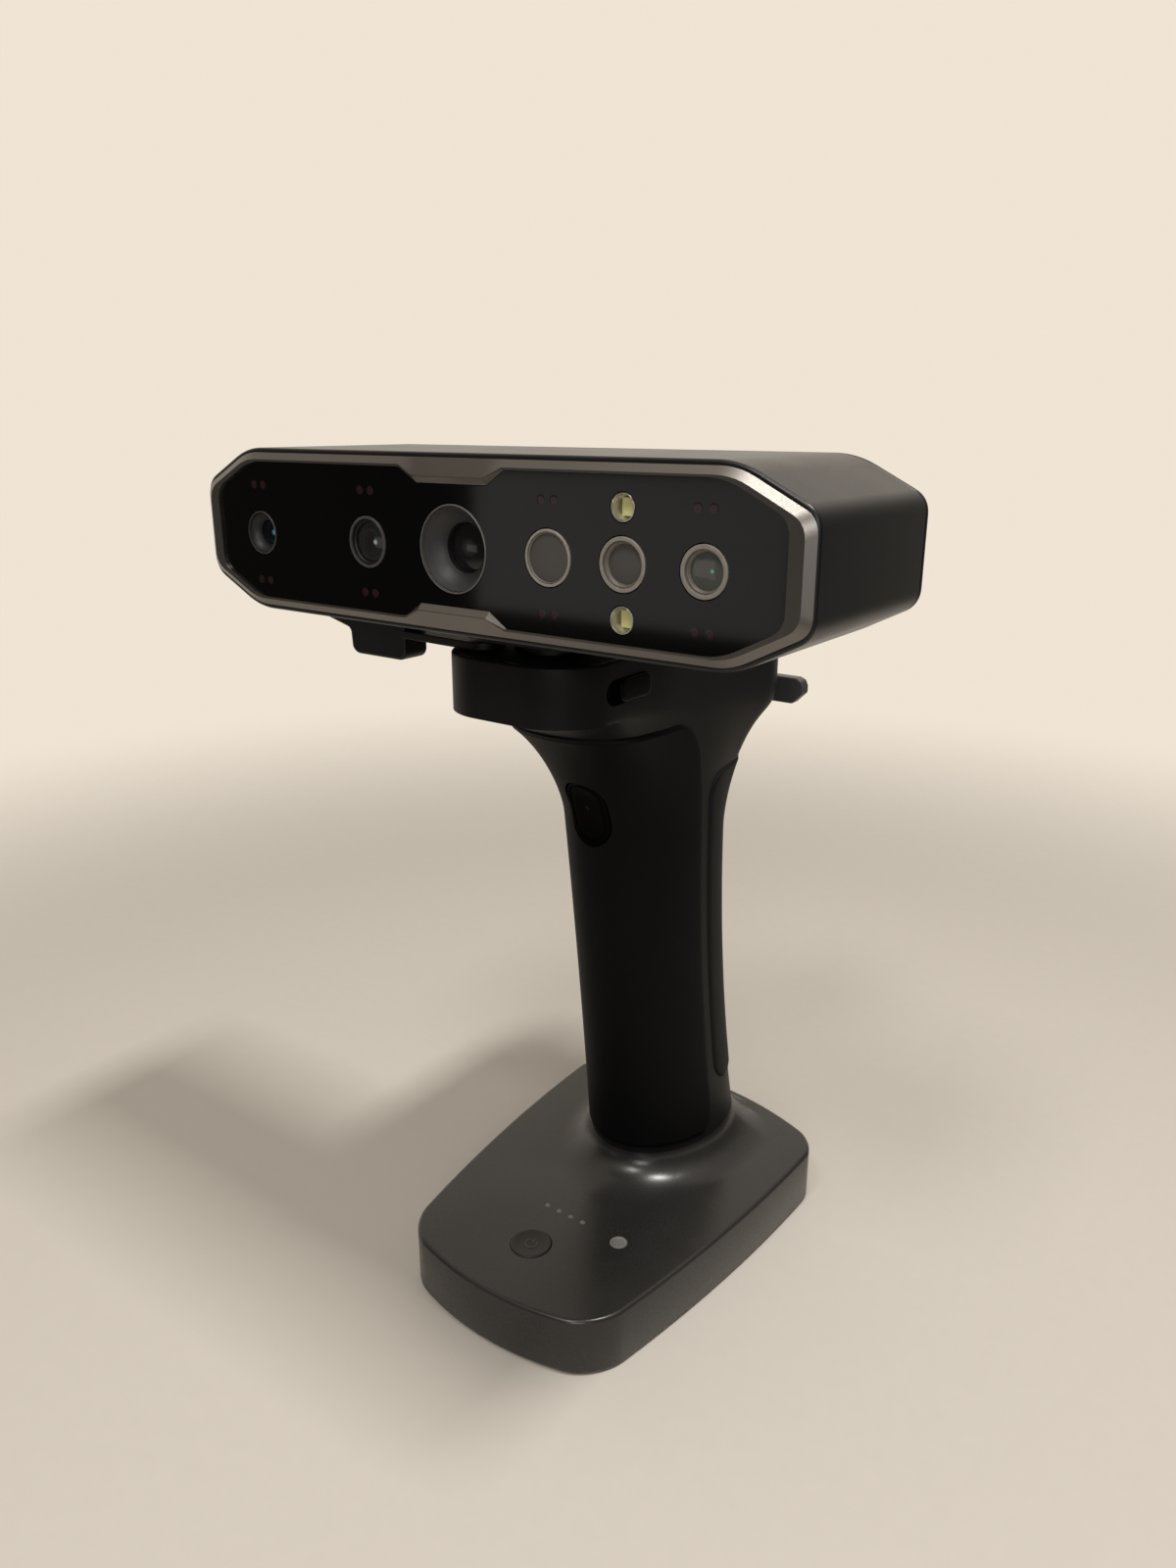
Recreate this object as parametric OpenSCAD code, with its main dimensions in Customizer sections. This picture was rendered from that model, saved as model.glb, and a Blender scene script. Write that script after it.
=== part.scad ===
// Hand-held three-d scanner on a wireless desk grip, millimetres, +Z up.
// The origin is on the ground under the middle of the foot, and -Y is the side with the lenses.

/* [Base] */
// Length of the foot from front to back
base_len = 148; // [134:1:170]
// Width of the foot across its front corners
base_front_w = 83; // [78:1:96]
// Width of the foot across its back corners
base_back_w = 105; // [100:1:124]
// Radius of the two front corners in plan
base_front_r = 12.5; // [10:0.5:18]
// Radius of the two back corners in plan
base_back_r = 9; // [8:0.5:16]
// How far the foot's front edge bows out
base_front_bow = 8.5; // [4:0.1:10]
// How far the foot's back edge bows out
base_back_bow = 13; // [8:0.1:16]
// How far each side of the foot bows out
base_side_bow = 3.5; // [2:0.1:6]
// Height of the foot's side wall
base_wall_h = 21; // [18:0.5:26]
// Height where the foot ends and the grip begins
neck_z = 31; // [29:1:40]
// Reach of the fillet from the grip over the foot's top
fillet_reach = 18; // [10:1:20]
// Rounding between the foot's side and its top
base_edge_r = 1.5; // [0.8:0.1:2.5]
// Thickness of the rubber foot pad
pad_t = 1.2; // [0.8:0.1:2]
// Thickness of the plate that closes the foot
base_plate_t = 2.5; // [2:0.1:3.5]

/* [Foot controls] */
// Diameter of the power button
power_d = 14; // [10:0.5:18]
// Distance of the power button behind the foot's front edge
power_setback = 25.5; // [22:0.5:29]
// Travel of the power button
power_travel = 1; // [0.4:0.1:1.4]
// Diameter of one charge light
charge_light_d = 2.1; // [1.2:0.1:2.4]
// Distance between two charge lights
charge_light_pitch = 5.1; // [3:0.1:6]
// Distance of the charge lights behind the foot's front edge
charge_light_setback = 44.5; // [40:0.5:49]
// Diameter of the status light
status_d = 6; // [4:0.5:8]
// Distance of the status light from the middle plane
status_x = 23.5; // [18:0.5:26]
// Distance of the status light behind the foot's front edge
status_setback = 43.5; // [38:0.5:49]

/* [Handle] */
// Height of the handle's flat top
deck_z = 222.3; // [210:0.5:240]
// Width of the handle's top body
collar_w = 53; // [50:0.5:60]
// Length of the handle's top body
collar_len = 136; // [126:1:146]
// Distance of the top body's front before the grip's waist
collar_reach = 83; // [79:1:89]
// Corner radius at the front of the top body
collar_front_r = 18; // [14:0.5:22]
// Corner radius at the back of the top body
collar_back_r = 22; // [14:0.5:24]
// Height of the top body's upright wall at the front
collar_front_h = 17.3; // [16:0.1:24]
// Height of the top body's upright wall at the back
collar_back_h = 35.3; // [30:0.1:42]
// Width of the grip at its waist
grip_w = 46; // [42:0.5:52]
// Depth of the grip at its waist
grip_d = 61; // [56:0.5:66]
// Height of the grip's waist
grip_waist_z = 100; // [90:1:110]
// Distance of the grip's waist before the foot's back edge
grip_setback = 51; // [47:0.5:58]
// Wall of the handle and of the foot
wall = 2.6; // [2:0.1:3]
// Thickness of the lid on the handle's top body
deck_t = 4; // [3.6:0.1:5]
// Thickness of the soft grip panel and of the rear strip
skin_t = 0.7; // [0.4:0.1:1.2]

/* [Trigger] */
// Width of the oval trigger
trigger_w = 15; // [12:0.5:17]
// Length of the oval trigger
trigger_len = 24; // [20:0.5:27]
// Travel of the trigger
trigger_travel = 1.5; // [0.6:0.1:1.8]

/* [Release slider] */
// Length of the slider's recess
recess_len = 22; // [20:0.5:26]
// Height of the slider's recess
recess_h = 7.6; // [6:0.1:9]
// Length of the slider
slider_len = 15.5; // [12:0.5:16]
// Travel of the slider
slider_travel = 5.5; // [2:0.1:6]

/* [Quick release] */
// Gap between the handle's top and the head
head_gap = 9.35; // [8.6:0.05:12]
// Width of the quick-release plate
plate_w = 48; // [40:0.5:50]
// Length of the quick-release plate
plate_len = 38; // [34:0.5:44]
// Diameter of the plate's round boss
boss_d = 22; // [18:0.5:24]
// Diameter of the camera screw's shank
screw_d = 6.2; // [5:0.1:6.4]
// Width of the locking lever
lever_w = 10; // [8:0.5:12]
// Thickness of the locking lever's arm
lever_t = 2.4; // [1.8:0.1:2.5]
// Distance from the lever's pin to its finger block
lever_reach = 28; // [24:0.5:32]
// Length of the lever's finger block
lever_block = 24.5; // [18:0.5:28]
// Length of the lever's tapered tip
lever_tip = 15; // [10:0.5:18]
// Diameter of the lever's pin
lever_pin_d = 4; // [3:0.5:4.5]

/* [Phone ledge] */
// Width of the fold-out phone ledge
ledge_w = 56; // [46:1:64]
// Height of the ledge when it is folded up
ledge_h = 12; // [10:0.5:16]
// Thickness of the ledge
ledge_t = 4.6; // [4:0.1:6]
// Diameter of the ledge's hinge pin
ledge_pin_d = 2.4; // [2:0.1:2.6]

/* [Head] */
// Width of the scanning head
head_w = 203; // [195:1:220]
// Height of the scanning head
head_h = 46.7; // [44:0.1:52]
// Depth of the scanning head
head_d = 62; // [58:0.5:70]
// Width of the head's corner cuts
head_cut_x = 19.7; // [16:0.1:22]
// Height of the head's corner cuts
head_cut_z = 10.1; // [8:0.1:11]
// Distance of the head's front rim before the top body's front
head_overhang = 14; // [10:0.5:18]
// Wall of the head's sleeve
head_wall = 1.5; // [1.2:0.1:2.2]
// Height of the bezel's ridge before the sleeve's rim
ridge_h = 1.5; // [1:0.1:2]
// Width of the bezel's outer chamfer
chamfer_w = 1.3; // [1:0.1:2.2]
// Width of the bezel's flat band at the two ends
band_side = 3.3; // [3:0.1:5.5]
// Width of the bezel's flat band at the top and bottom
band_top = 0.7; // [0.3:0.1:1.2]
// Depth of the front window behind the bezel's ridge
window_drop = 0.8; // [0.5:0.1:1.2]
// Thickness of the front window
window_t = 2; // [1.5:0.1:2.5]

/* [Bezel tabs] */
// Half width of a tab along its inner edge
tab_half = 12; // [8:0.5:16]
// Run of a tab's sloped ends
tab_slope = 5.7; // [4:0.1:8]
// How far a tab reaches into the window
tab_reach = 3.9; // [3:0.1:4.5]
// How far a tab stands before the bezel's ridge
tab_rise = 1.7; // [0.8:0.1:2.2]
// Distance of the tabs from the middle plane
tab_x = -0.8; // [-6:0.1:6]

/* [Optics] */
// Distance of the far left camera from the head's left end
far_left_end = 24.7; // [21.5:0.1:28]
// Ring diameter of the far left camera
far_left_d = 12.5; // [11:0.1:15]
// How far the near left camera is to the right of halfway from the far left camera to the projector
near_left_shift = 6.5; // [2:0.1:9]
// Ring diameter of the near left camera
near_left_d = 14; // [12:0.1:15]
// Place of the projector lens across the head
projector_x = -0.8; // [-4:0.1:2]
// Ring diameter of the projector lens
projector_d = 23; // [20:0.1:25]
// How far the laser window is to the right of halfway from the projector to the colour camera
laser_shift = 4.6; // [2:0.1:7]
// Ring diameter of the laser window
laser_d = 14; // [12:0.1:15]
// Distance from the colour camera to the right camera
colour_pitch = 22; // [20:0.1:24]
// Ring diameter of the colour camera
colour_d = 13; // [12:0.1:14]
// Distance of the right camera from the head's right end
right_end = 27.1; // [24:0.1:30]
// Ring diameter of the right camera
right_d = 12.3; // [11:0.1:14]
// Diameter of a white light's cup
cup_d = 6.6; // [5:0.1:7.5]
// Height of the white lights above and below the colour camera
cup_z = 13; // [11.5:0.1:14]
// Diameter of an infrared light
infrared_d = 2.4; // [1.6:0.1:2.6]
// Distance between the two infrared lights of a pair
infrared_pitch = 4; // [3.2:0.1:5]
// Height of the infrared lights above and below the lenses
infrared_z = 13.8; // [11.5:0.1:14]

/* [Hidden] */

// Fits and small sizes that several pieces share
fit = 0.15;
slip = 0.3;
running = 0.05;
board_t = 1.6;
round_fn = 64;
tiny = 0.01;
past = 1;
through = 5;

// Places that follow from the sizes
base_front = -base_len / 2;
grip_waist_y = base_len / 2 - grip_setback;
collar_front = grip_waist_y - collar_reach;
collar_back = collar_front + collar_len;
head_front = collar_front - head_overhang;
head_bottom = deck_z + head_gap;
head_mid = head_bottom + head_h / 2;
flank_x = collar_w / 2;

// Outline of the foot and of the top body: the same number of points in the same order
corner_n = 6;
side_n = 11;
edge_n = 3;
back_left = 1 + edge_n;
side_left = back_left + corner_n + 1;
front_left = side_left + side_n;
front_mid = front_left + corner_n + 1 + edge_n;
front_right = front_mid + 1 + edge_n;
side_right = front_right + corner_n + 1;
back_right = side_right + side_n;
columns = back_right + corner_n + 1 + edge_n;
panel_first = side_left + (side_n - 1) / 2;
panel_last = side_right + (side_n - 1) / 2;
right_angle = 90;
half_right = 45;

function flip(p) = [-p[0], p[1]];
function arc(c, r, a0, a1) =
    [for (i = [0 : corner_n])
        let (a = mix(a0, a1, i / corner_n))
        c + r * [cos(a), sin(a)]];
function backwards(list) = [for (i = [len(list) - 1 : -1 : 0]) list[i]];
function mix(a, b, s) = a + (b - a) * s;
function clamp01(s) = min(1, max(0, s));
function between(from, to, n) = [for (i = [1 : n]) mix(from, to, i / (n + 1))];

// Rounded trapezoid seen from above, counter-clockwise from the middle of its back
function outline(half_front, half_back, front, back, r_front, r_back) =
    let (
        c_front = [half_front - r_front, front + r_front],
        c_back = [half_back - r_back, back - r_back],
        across = c_back - c_front,
        side = atan2(across[1], across[0]) - acos((r_front - r_back) / norm(across)),
        arc_front = arc(c_front, r_front, -right_angle, side),
        arc_back = arc(c_back, r_back, side, right_angle),
        from = arc_front[corner_n],
        to = arc_back[0],
        flank = between(from, to, side_n),
        front_edge = between([0, front], arc_front[0], edge_n),
        back_edge = between(arc_back[corner_n], [0, back], edge_n),
        right = concat(front_edge, arc_front, flank, arc_back, back_edge),
        left = [for (p = backwards(right)) flip(p)]
    )
    concat([[0, back]], left, [[0, front]], right);

// The foot's outline is a rounded trapezoid whose four edges bow outwards
foot_front = base_front + base_front_bow;
foot_back = base_len / 2 - base_back_bow;
function bow_share(s) = max(0, 1 - pow(s, 2));
function bowed(p, inset) =
    let (
        run = (p[1] - foot_front) / (foot_back - foot_front),
        half = mix(base_front_w, base_back_w, clamp01(run)) / 2 - inset,
        end_bow = 2 * run < 1 ? -base_front_bow : base_back_bow,
        side_bow = sign(p[0]) * base_side_bow
    )
    p + [side_bow * bow_share(2 * run - 1), end_bow * bow_share(p[0] / half)];
function base_outline(inset) =
    let (
        straight = outline(base_front_w / 2 - inset, base_back_w / 2 - inset, foot_front + inset,
            foot_back - inset, base_front_r - inset, base_back_r - inset)
    )
    [for (p = straight) bowed(p, inset)];
function collar_outline(inset) =
    outline(flank_x - inset, flank_x - inset, collar_front + inset, collar_back - inset,
        collar_front_r - inset, collar_back_r - inset);

// Angle round the grip of each point of the outline
collar_edge = collar_outline(0);
collar_mid = (collar_front + collar_back) / 2;
turn = [for (p = collar_edge) atan2((p[1] - collar_mid) / (collar_len / 2), p[0] / flank_x)];

// The grip leans back as it goes down and swells away from its waist
grip_lean = -0.12;
grip_bow = 0.0004;
grip_swell = 0.00042;
function from_waist(z) = z - grip_waist_z;
function grip_y(z) = grip_waist_y + grip_lean * from_waist(z) + grip_bow * pow(from_waist(z), 2);
function grip_depth(z) = grip_d / 2 + grip_swell * pow(from_waist(z), 2);
function grip_half(z) = grip_depth(z) * grip_w / grip_d;
function grip_point(i, z, inset) =
    [(grip_half(z) - inset) * cos(turn[i]), grip_y(z) + (grip_depth(z) - inset) * sin(turn[i])];

// The flare from the grip to the top body ends lower at the back than at the front
flare_front_h = 43;
flare_back_h = 37;
flare_power = 1.6;
flare_front_z = deck_z - collar_front_h;
flare_back_z = deck_z - collar_back_h;
flare_front_low = flare_front_z - flare_front_h;
flare_back_low = flare_back_z - flare_back_h;
function along(i) = (collar_edge[i][1] - collar_front) / collar_len;
function flare_top(i) = mix(flare_front_z, flare_back_z, pow(along(i), 2));
function flare_low(i) = mix(flare_front_low, flare_back_low, along(i));
function flare(s) = 1 - sqrt(1 - pow(clamp01(s), flare_power));
function handle_point(i, z, inset, edge) =
    let (
        s = (z - inset - flare_low(i)) / (flare_top(i) - flare_low(i)),
        p = mix(grip_point(i, z, inset), edge[i], flare(s))
    )
    [p[0], p[1], z];

// Faces of a tube of rings that closes on itself, and of a tube with two capped ends
function cell(a, b, c, d) = [[a, c, b], [a, d, c]];
function ring_faces(rings, across) =
    [for (j = [0 : rings - 1], i = [0 : across - 1])
        each cell(j * across + i, j * across + (i + 1) % across,
            ((j + 1) % rings) * across + (i + 1) % across, ((j + 1) % rings) * across + i)];
module ring_solid(rings) {
    polyhedron(points = [for (ring = rings) each ring], faces = ring_faces(len(rings), len(rings[0])));
}

// Slab of a 2D shape drawn across X and Z, from y0 over a depth
module slab(y0, depth) {
    translate([0, y0 + depth, 0])
        rotate([right_angle, 0, 0])
            linear_extrude(height = depth)
                children();
}
module upright(x, y, z0, z1, r) {
    translate([x, y, z0])
        cylinder(h = z1 - z0, r = r, $fn = round_fn);
}
module along_y(x, y0, y1, z, r) {
    translate([x, y0, z])
        rotate([-right_angle, 0, 0])
            cylinder(h = y1 - y0, r = r, $fn = round_fn);
}
module along_x(x0, x1, y, z, r) {
    translate([x0, y, z])
        rotate([0, right_angle, 0])
            cylinder(h = x1 - x0, r = r, $fn = round_fn);
}
module block(low, high) {
    translate(low)
        cube(high - low);
}
module stadium(length, height) {
    straight = (length - height) / 2;
    square([2 * straight, height], center = true);
    for (side = [-1, 1])
        translate([side * straight, 0])
            circle(d = height, $fn = round_fn);
}
module rounded_rect(w, h, r) {
    square([w - 2 * r, h], center = true);
    square([w, h - 2 * r], center = true);
    for (x = [-1, 1], y = [-1, 1])
        translate([x * (w / 2 - r), y * (h / 2 - r)])
            circle(r = r, $fn = round_fn);
}
module collar_plan(inset) {
    polygon(collar_outline(inset));
}

// Head, drawn with its front rim at y = 0 and its middle at z = 0
module in_head() {
    translate([0, head_front, head_mid])
        children();
}
cut_len = norm([head_cut_x, head_cut_z]);
function octagon(inset) =
    let (
        w = head_w / 2 - inset,
        h = head_h / 2 - inset,
        cx = head_cut_x - inset + inset * (cut_len - head_cut_x) / head_cut_z,
        cz = head_cut_z - inset + inset * (cut_len - head_cut_z) / head_cut_x
    )
    [[w - cx, h], [w, h - cz], [w, cz - h], [w - cx, -h],
     [cx - w, -h], [-w, cz - h], [-w, h - cz], [cx - w, h]];

cover_t = 2.5;
sleeve_d = head_d - cover_t;
bezel_inset = head_wall + slip;
ridge_inset = bezel_inset + chamfer_w;
bezel_d = 6;
window_y = window_drop - ridge_h;
window_back = window_y + window_t;
seat_lip = 0.8;
bench_y = 14;
bench_t = 4;
bench_back = bench_y + bench_t;
plate_setback = 40;
plate_mid = head_front + plate_setback;
screw_r = screw_d / 2;

// Window opening: the bezel's inner edge with the two tabs left standing
window_w = head_w / 2 - ridge_inset - band_side;
window_h = head_h / 2 - ridge_inset - band_top;
window_cut_x = head_cut_x - band_side - band_top;
window_cut_z = window_cut_x * head_cut_z / head_cut_x;
function window_half(sign, inset) =
    [[window_w - inset, sign * (window_h - window_cut_z)],
     [window_w - window_cut_x - inset / 2, sign * (window_h - inset)],
     [tab_x + tab_half + tab_slope, sign * (window_h - inset)],
     [tab_x + tab_half, sign * (window_h - tab_reach - inset)],
     [tab_x - tab_half, sign * (window_h - tab_reach - inset)],
     [tab_x - tab_half - tab_slope, sign * (window_h - inset)],
     [window_cut_x + inset / 2 - window_w, sign * (window_h - inset)],
     [inset - window_w, sign * (window_h - window_cut_z)]];
module window_plan(inset) {
    polygon(concat(window_half(1, inset), backwards(window_half(-1, inset))));
}

// Every lens: its place across the head and its ring diameter
far_left_x = far_left_end - head_w / 2;
right_x = head_w / 2 - right_end;
colour_x = right_x - colour_pitch;
near_left_x = (far_left_x + projector_x) / 2 + near_left_shift;
laser_x = (projector_x + colour_x) / 2 + laser_shift;
lenses = [
    [far_left_x, far_left_d], [near_left_x, near_left_d], [projector_x, projector_d],
    [laser_x, laser_d], [colour_x, colour_d], [right_x, right_d]
];
infrared_x = [far_left_x, near_left_x, laser_x, right_x];
barrel_wall = 1.3;
barrel_step = 1;
barrel_proud = 0.3;
lens_depth = 3.2;
optics_z = -0.8;
lens_t = 2.4;
crown_ratio = 6;
dome_fn = 160;
module for_cups() {
    for (side = [-1, 1])
        translate([colour_x, 0, optics_z + side * cup_z])
            children();
}
module for_infrared() {
    for (x = infrared_x, side = [-1, 1], pair = [-1, 1])
        translate([x + pair * infrared_pitch / 2, 0, optics_z + side * infrared_z])
            children();
}

module head_shell() {
    color("#17171a")
        difference() {
            in_head()
                difference() {
                    slab(0, sleeve_d)
                        polygon(octagon(0));
                    slab(-past, sleeve_d + 2 * past)
                        polygon(octagon(head_wall));
                }
            upright(0, plate_mid, head_bottom - past, head_bottom + head_wall + past, screw_r + slip);
        }
}

cover_screw_in = 4;
cover_screw_drop = 7;
cover_screw_x = head_w / 2 - head_cut_x - cover_screw_in;
cover_screw_z = head_h / 2 - cover_screw_drop;
cover_screw_r = 1.5;
cover_head_h = 0.8;
cover_head_rim = 0.9;
drive_r = 0.8;
drive_d = 0.4;
rim_d = 3;
rim_t = 1.8;
socket_end = 39.5;
socket_x = head_w / 2 - socket_end;
socket_z = -9;
socket_w = 9;
socket_h = 3.4;
socket_r = 1;
socket_wall = 0.3;
socket_floor = 1.5;
board_gap = 5;
board_back = sleeve_d - board_gap;
board_front = board_back - board_t;
module for_cover_screws() {
    for (x = [-1, 1], z = [-1, 1])
        translate([x * cover_screw_x, 0, z * cover_screw_z])
            children();
}
module rear_cover() {
    color("#141416")
        in_head()
            difference() {
                union() {
                    slab(sleeve_d, cover_t)
                        polygon(octagon(0));
                    slab(sleeve_d - rim_d, rim_d)
                        polygon(octagon(head_wall + fit));
                }
                slab(sleeve_d - rim_d - past, rim_d + past)
                    polygon(octagon(head_wall + fit + rim_t));
                for_cover_screws()
                    along_y(0, sleeve_d - past, head_d + past, 0, cover_screw_r + slip);
                translate([socket_x, 0, socket_z])
                    slab(sleeve_d - past, cover_t + 2 * past)
                        rounded_rect(socket_w + 2 * fit, socket_h + 2 * fit, socket_r);
            }
}
module cover_screws() {
    color("#2a2a2d")
        in_head()
            for_cover_screws()
                difference() {
                    union() {
                        along_y(0, board_front, head_d, 0, cover_screw_r);
                        along_y(0, head_d, head_d + cover_head_h, 0, cover_screw_r + cover_head_rim);
                    }
                    along_y(0, head_d + cover_head_h - drive_d, head_d + past, 0, drive_r);
                }
}

tab_sunk = 0.4;
tab_crown = 2;
tab_crown_t = 0.2;
tab_end = 1;
module tab_wedge(side) {
    low = window_h + tab_sunk;
    high = window_h - tab_reach;
    crown = high + tab_crown;
    hull() {
        slab(-ridge_h, tiny)
            polygon([[tab_x - tab_half - tab_slope, side * low], [tab_x + tab_half + tab_slope, side * low],
                [tab_x + tab_half, side * high], [tab_x - tab_half, side * high]]);
        slab(-ridge_h - tab_rise, tiny)
            polygon([[tab_x - tab_half - tab_end, side * (crown + tab_crown_t)],
                [tab_x + tab_half + tab_end, side * (crown + tab_crown_t)],
                [tab_x + tab_half, side * crown], [tab_x - tab_half, side * crown]]);
    }
}
module front_bezel() {
    color("#7d7872")
        in_head() {
            difference() {
                union() {
                    slab(0, bezel_d)
                        polygon(octagon(bezel_inset));
                    hull() {
                        slab(-tiny, 2 * tiny)
                            polygon(octagon(bezel_inset));
                        slab(-ridge_h, tiny)
                            polygon(octagon(ridge_inset));
                    }
                }
                slab(-ridge_h - past, ridge_h + past + window_back)
                    window_plan(0);
                slab(-ridge_h - past, ridge_h + bezel_d + 2 * past)
                    window_plan(seat_lip);
            }
            for (side = [-1, 1])
                tab_wedge(side);
        }
}
module front_window() {
    color("#050506")
        in_head()
            difference() {
                slab(window_y, window_t)
                    window_plan(fit);
                for (lens = lenses)
                    along_y(lens[0], -through, through, optics_z, lens[1] / 2 + slip);
                for_cups()
                    along_y(0, -through, through, 0, cup_d / 2 + slip);
            }
}
module optical_bench() {
    color("#3d3f42")
        in_head()
            difference() {
                slab(bench_y, bench_t)
                    polygon(octagon(head_wall + fit));
                for (lens = lenses)
                    along_y(lens[0], bench_y - past, bench_back + past, optics_z,
                        lens[1] / 2 - barrel_wall - barrel_step);
            }
}

module barrel(place) {
    x = place[0];
    r = place[1] / 2;
    in_head()
        difference() {
            along_y(x, window_y - barrel_proud, bench_y, optics_z, r);
            along_y(x, -through, bench_y + past, optics_z, r - barrel_wall - barrel_step);
            along_y(x, -through, window_y + lens_depth + lens_t, optics_z, r - barrel_wall);
        }
}
module lens(place) {
    x = place[0];
    r = place[1] / 2 - barrel_wall - running;
    crown = r / crown_ratio;
    bulge = (r * r + crown * crown) / (2 * crown);
    in_head()
        translate([x, window_y + lens_depth, optics_z])
            rotate([-right_angle, 0, 0])
                intersection() {
                    cylinder(h = lens_t, r = r, $fn = dome_fn);
                    translate([0, 0, bulge])
                        sphere(r = bulge, $fn = dome_fn);
                }
}
module far_left_barrel() { color("#3a3b3d") barrel(lenses[0]); }
module near_left_barrel() { color("#3a3b3d") barrel(lenses[1]); }
module projector_barrel() { color("#2b2c2e") barrel(lenses[2]); }
module laser_barrel() { color("#77787a") barrel(lenses[3]); }
module colour_barrel() { color("#77787a") barrel(lenses[4]); }
module right_barrel() { color("#8d8e90") barrel(lenses[5]); }
module far_left_lens() { color("#16303a") lens(lenses[0]); }
module near_left_lens() { color("#141a24") lens(lenses[1]); }
module projector_lens() { color("#101114") lens(lenses[2]); }
module laser_lens() { color("#4b4c4d") lens(lenses[3]); }
module colour_lens() { color("#3c3d3e") lens(lenses[4]); }
module right_lens() { color("#18382c") lens(lenses[5]); }

cup_wall = 0.5;
cup_depth = 6;
cup_floor = window_y + cup_depth;
chip_t = 0.5;
chip_r = 0.4;
chip_share = 0.55;
module white_light_cups() {
    color("#c9c9c4")
        in_head()
            for_cups()
                difference() {
                    along_y(0, window_y, bench_y, 0, cup_d / 2);
                    along_y(0, window_y - past, cup_floor, 0, cup_d / 2 - cup_wall);
                }
}
module white_light_chips() {
    color("#d9c648")
        in_head()
            for_cups()
                slab(cup_floor - chip_t, chip_t)
                    rounded_rect(cup_d * chip_share, cup_d * chip_share, chip_r);
}
module infrared_lights() {
    color("#3a0f14")
        in_head()
            for_infrared()
                along_y(0, window_back + fit, bench_y, 0, infrared_d / 2);
}
sensor_gap = 2;
sensor_w = min(colour_x - laser_x, right_x - colour_x) - sensor_gap;
sensor_h = 24;
board_r = 2;
sink_t = 2;
projector_box = 30;
projector_len = 28;
projector_back = bench_back + projector_len;
module sensor_boards() {
    color("#1f4a34")
        in_head()
            for (x = concat(infrared_x, [colour_x]))
                translate([x, 0, 0])
                    slab(bench_back, board_t)
                        rounded_rect(sensor_w, sensor_h, board_r);
}
module projector_module() {
    color("#303236")
        in_head()
            translate([projector_x, 0, 0])
                slab(bench_back, projector_len)
                    rounded_rect(projector_box, projector_box, board_r);
}
fin_count = 7;
fin_t = 1.2;
module heat_sink() {
    color("#9a9ca0")
        in_head()
            translate([projector_x, 0, 0]) {
                slab(projector_back, sink_t)
                    square(projector_box, center = true);
                for (i = [0 : fin_count - 1])
                    translate([(i / (fin_count - 1) - 0.5) * (projector_box - fin_t), 0, 0])
                        slab(projector_back, board_front - projector_back)
                            square([fin_t, projector_box], center = true);
            }
}
main_board_in = 18.5;
main_board_w = head_w - 2 * main_board_in;
main_board_h = 34;
module main_board() {
    color("#1f4a34")
        in_head()
            difference() {
                slab(board_front, board_t)
                    rounded_rect(main_board_w, main_board_h, board_r);
                for_cover_screws()
                    along_y(0, board_front - past, board_back + past, 0, cover_screw_r + slip);
            }
}
standoff_wall = 1.5;
module board_standoffs() {
    color("#b9a25c")
        in_head()
            for_cover_screws()
                difference() {
                    along_y(0, board_back, sleeve_d, 0, cover_screw_r + standoff_wall);
                    along_y(0, board_back - past, sleeve_d + past, 0, cover_screw_r + running);
                }
}
module link_socket() {
    color("#a9abad")
        in_head()
            translate([socket_x, 0, socket_z])
                difference() {
                    slab(board_back, head_d - board_back)
                        rounded_rect(socket_w, socket_h, socket_r);
                    slab(board_back + socket_floor, head_d)
                        rounded_rect(socket_w - 2 * socket_wall, socket_h - 2 * socket_wall,
                            socket_r - socket_wall);
                }
}

insert_flange = 2;
insert_len = 6;
insert_r = 6;
insert_rim = 3;
module tripod_insert() {
    floor_z = head_bottom + head_wall;
    color("#b0924c")
        difference() {
            union() {
                upright(0, plate_mid, floor_z, floor_z + insert_flange, insert_r + insert_rim);
                upright(0, plate_mid, floor_z, floor_z + insert_len, insert_r);
            }
            upright(0, plate_mid, floor_z - past, floor_z + insert_len + past, screw_r + running);
        }
}

// Quick release: the lever's arm turns in the slot between the plate and the deck
lever_z = deck_z + slip;
lever_top = lever_z + lever_t;
pin_head_t = 0.4;
pin_head_z = lever_top + slip;
plate_bottom = pin_head_z + pin_head_t + fit;
plate_r = 14;
deck_floor = 1.2;
boss_seat = deck_z - deck_t + deck_floor;
screw_head_r = 5.4;
screw_head_h = 3;
screw_slot = 1.4;
screw_slot_d = 1.2;
module quick_release_plate() {
    color("#4a4b4d")
        difference() {
            union() {
                translate([0, plate_mid, plate_bottom])
                    linear_extrude(height = head_bottom - plate_bottom)
                        rounded_rect(plate_w, plate_len, plate_r);
                upright(0, plate_mid, boss_seat, plate_bottom, boss_d / 2);
            }
            upright(0, plate_mid, boss_seat - past, head_bottom + past, screw_r + slip);
            upright(0, plate_mid, boss_seat - past, boss_seat + fit + screw_head_h, screw_head_r + slip);
        }
}
module plate_screw() {
    color("#8b8d90")
        difference() {
            union() {
                upright(0, plate_mid, boss_seat + fit, boss_seat + fit + screw_head_h, screw_head_r);
                upright(0, plate_mid, boss_seat, head_bottom + head_wall + insert_len, screw_r);
            }
            block([-screw_head_r, plate_mid - screw_slot / 2, boss_seat - past],
                [screw_head_r, plate_mid + screw_slot / 2, boss_seat + screw_slot_d]);
        }
}

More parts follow.
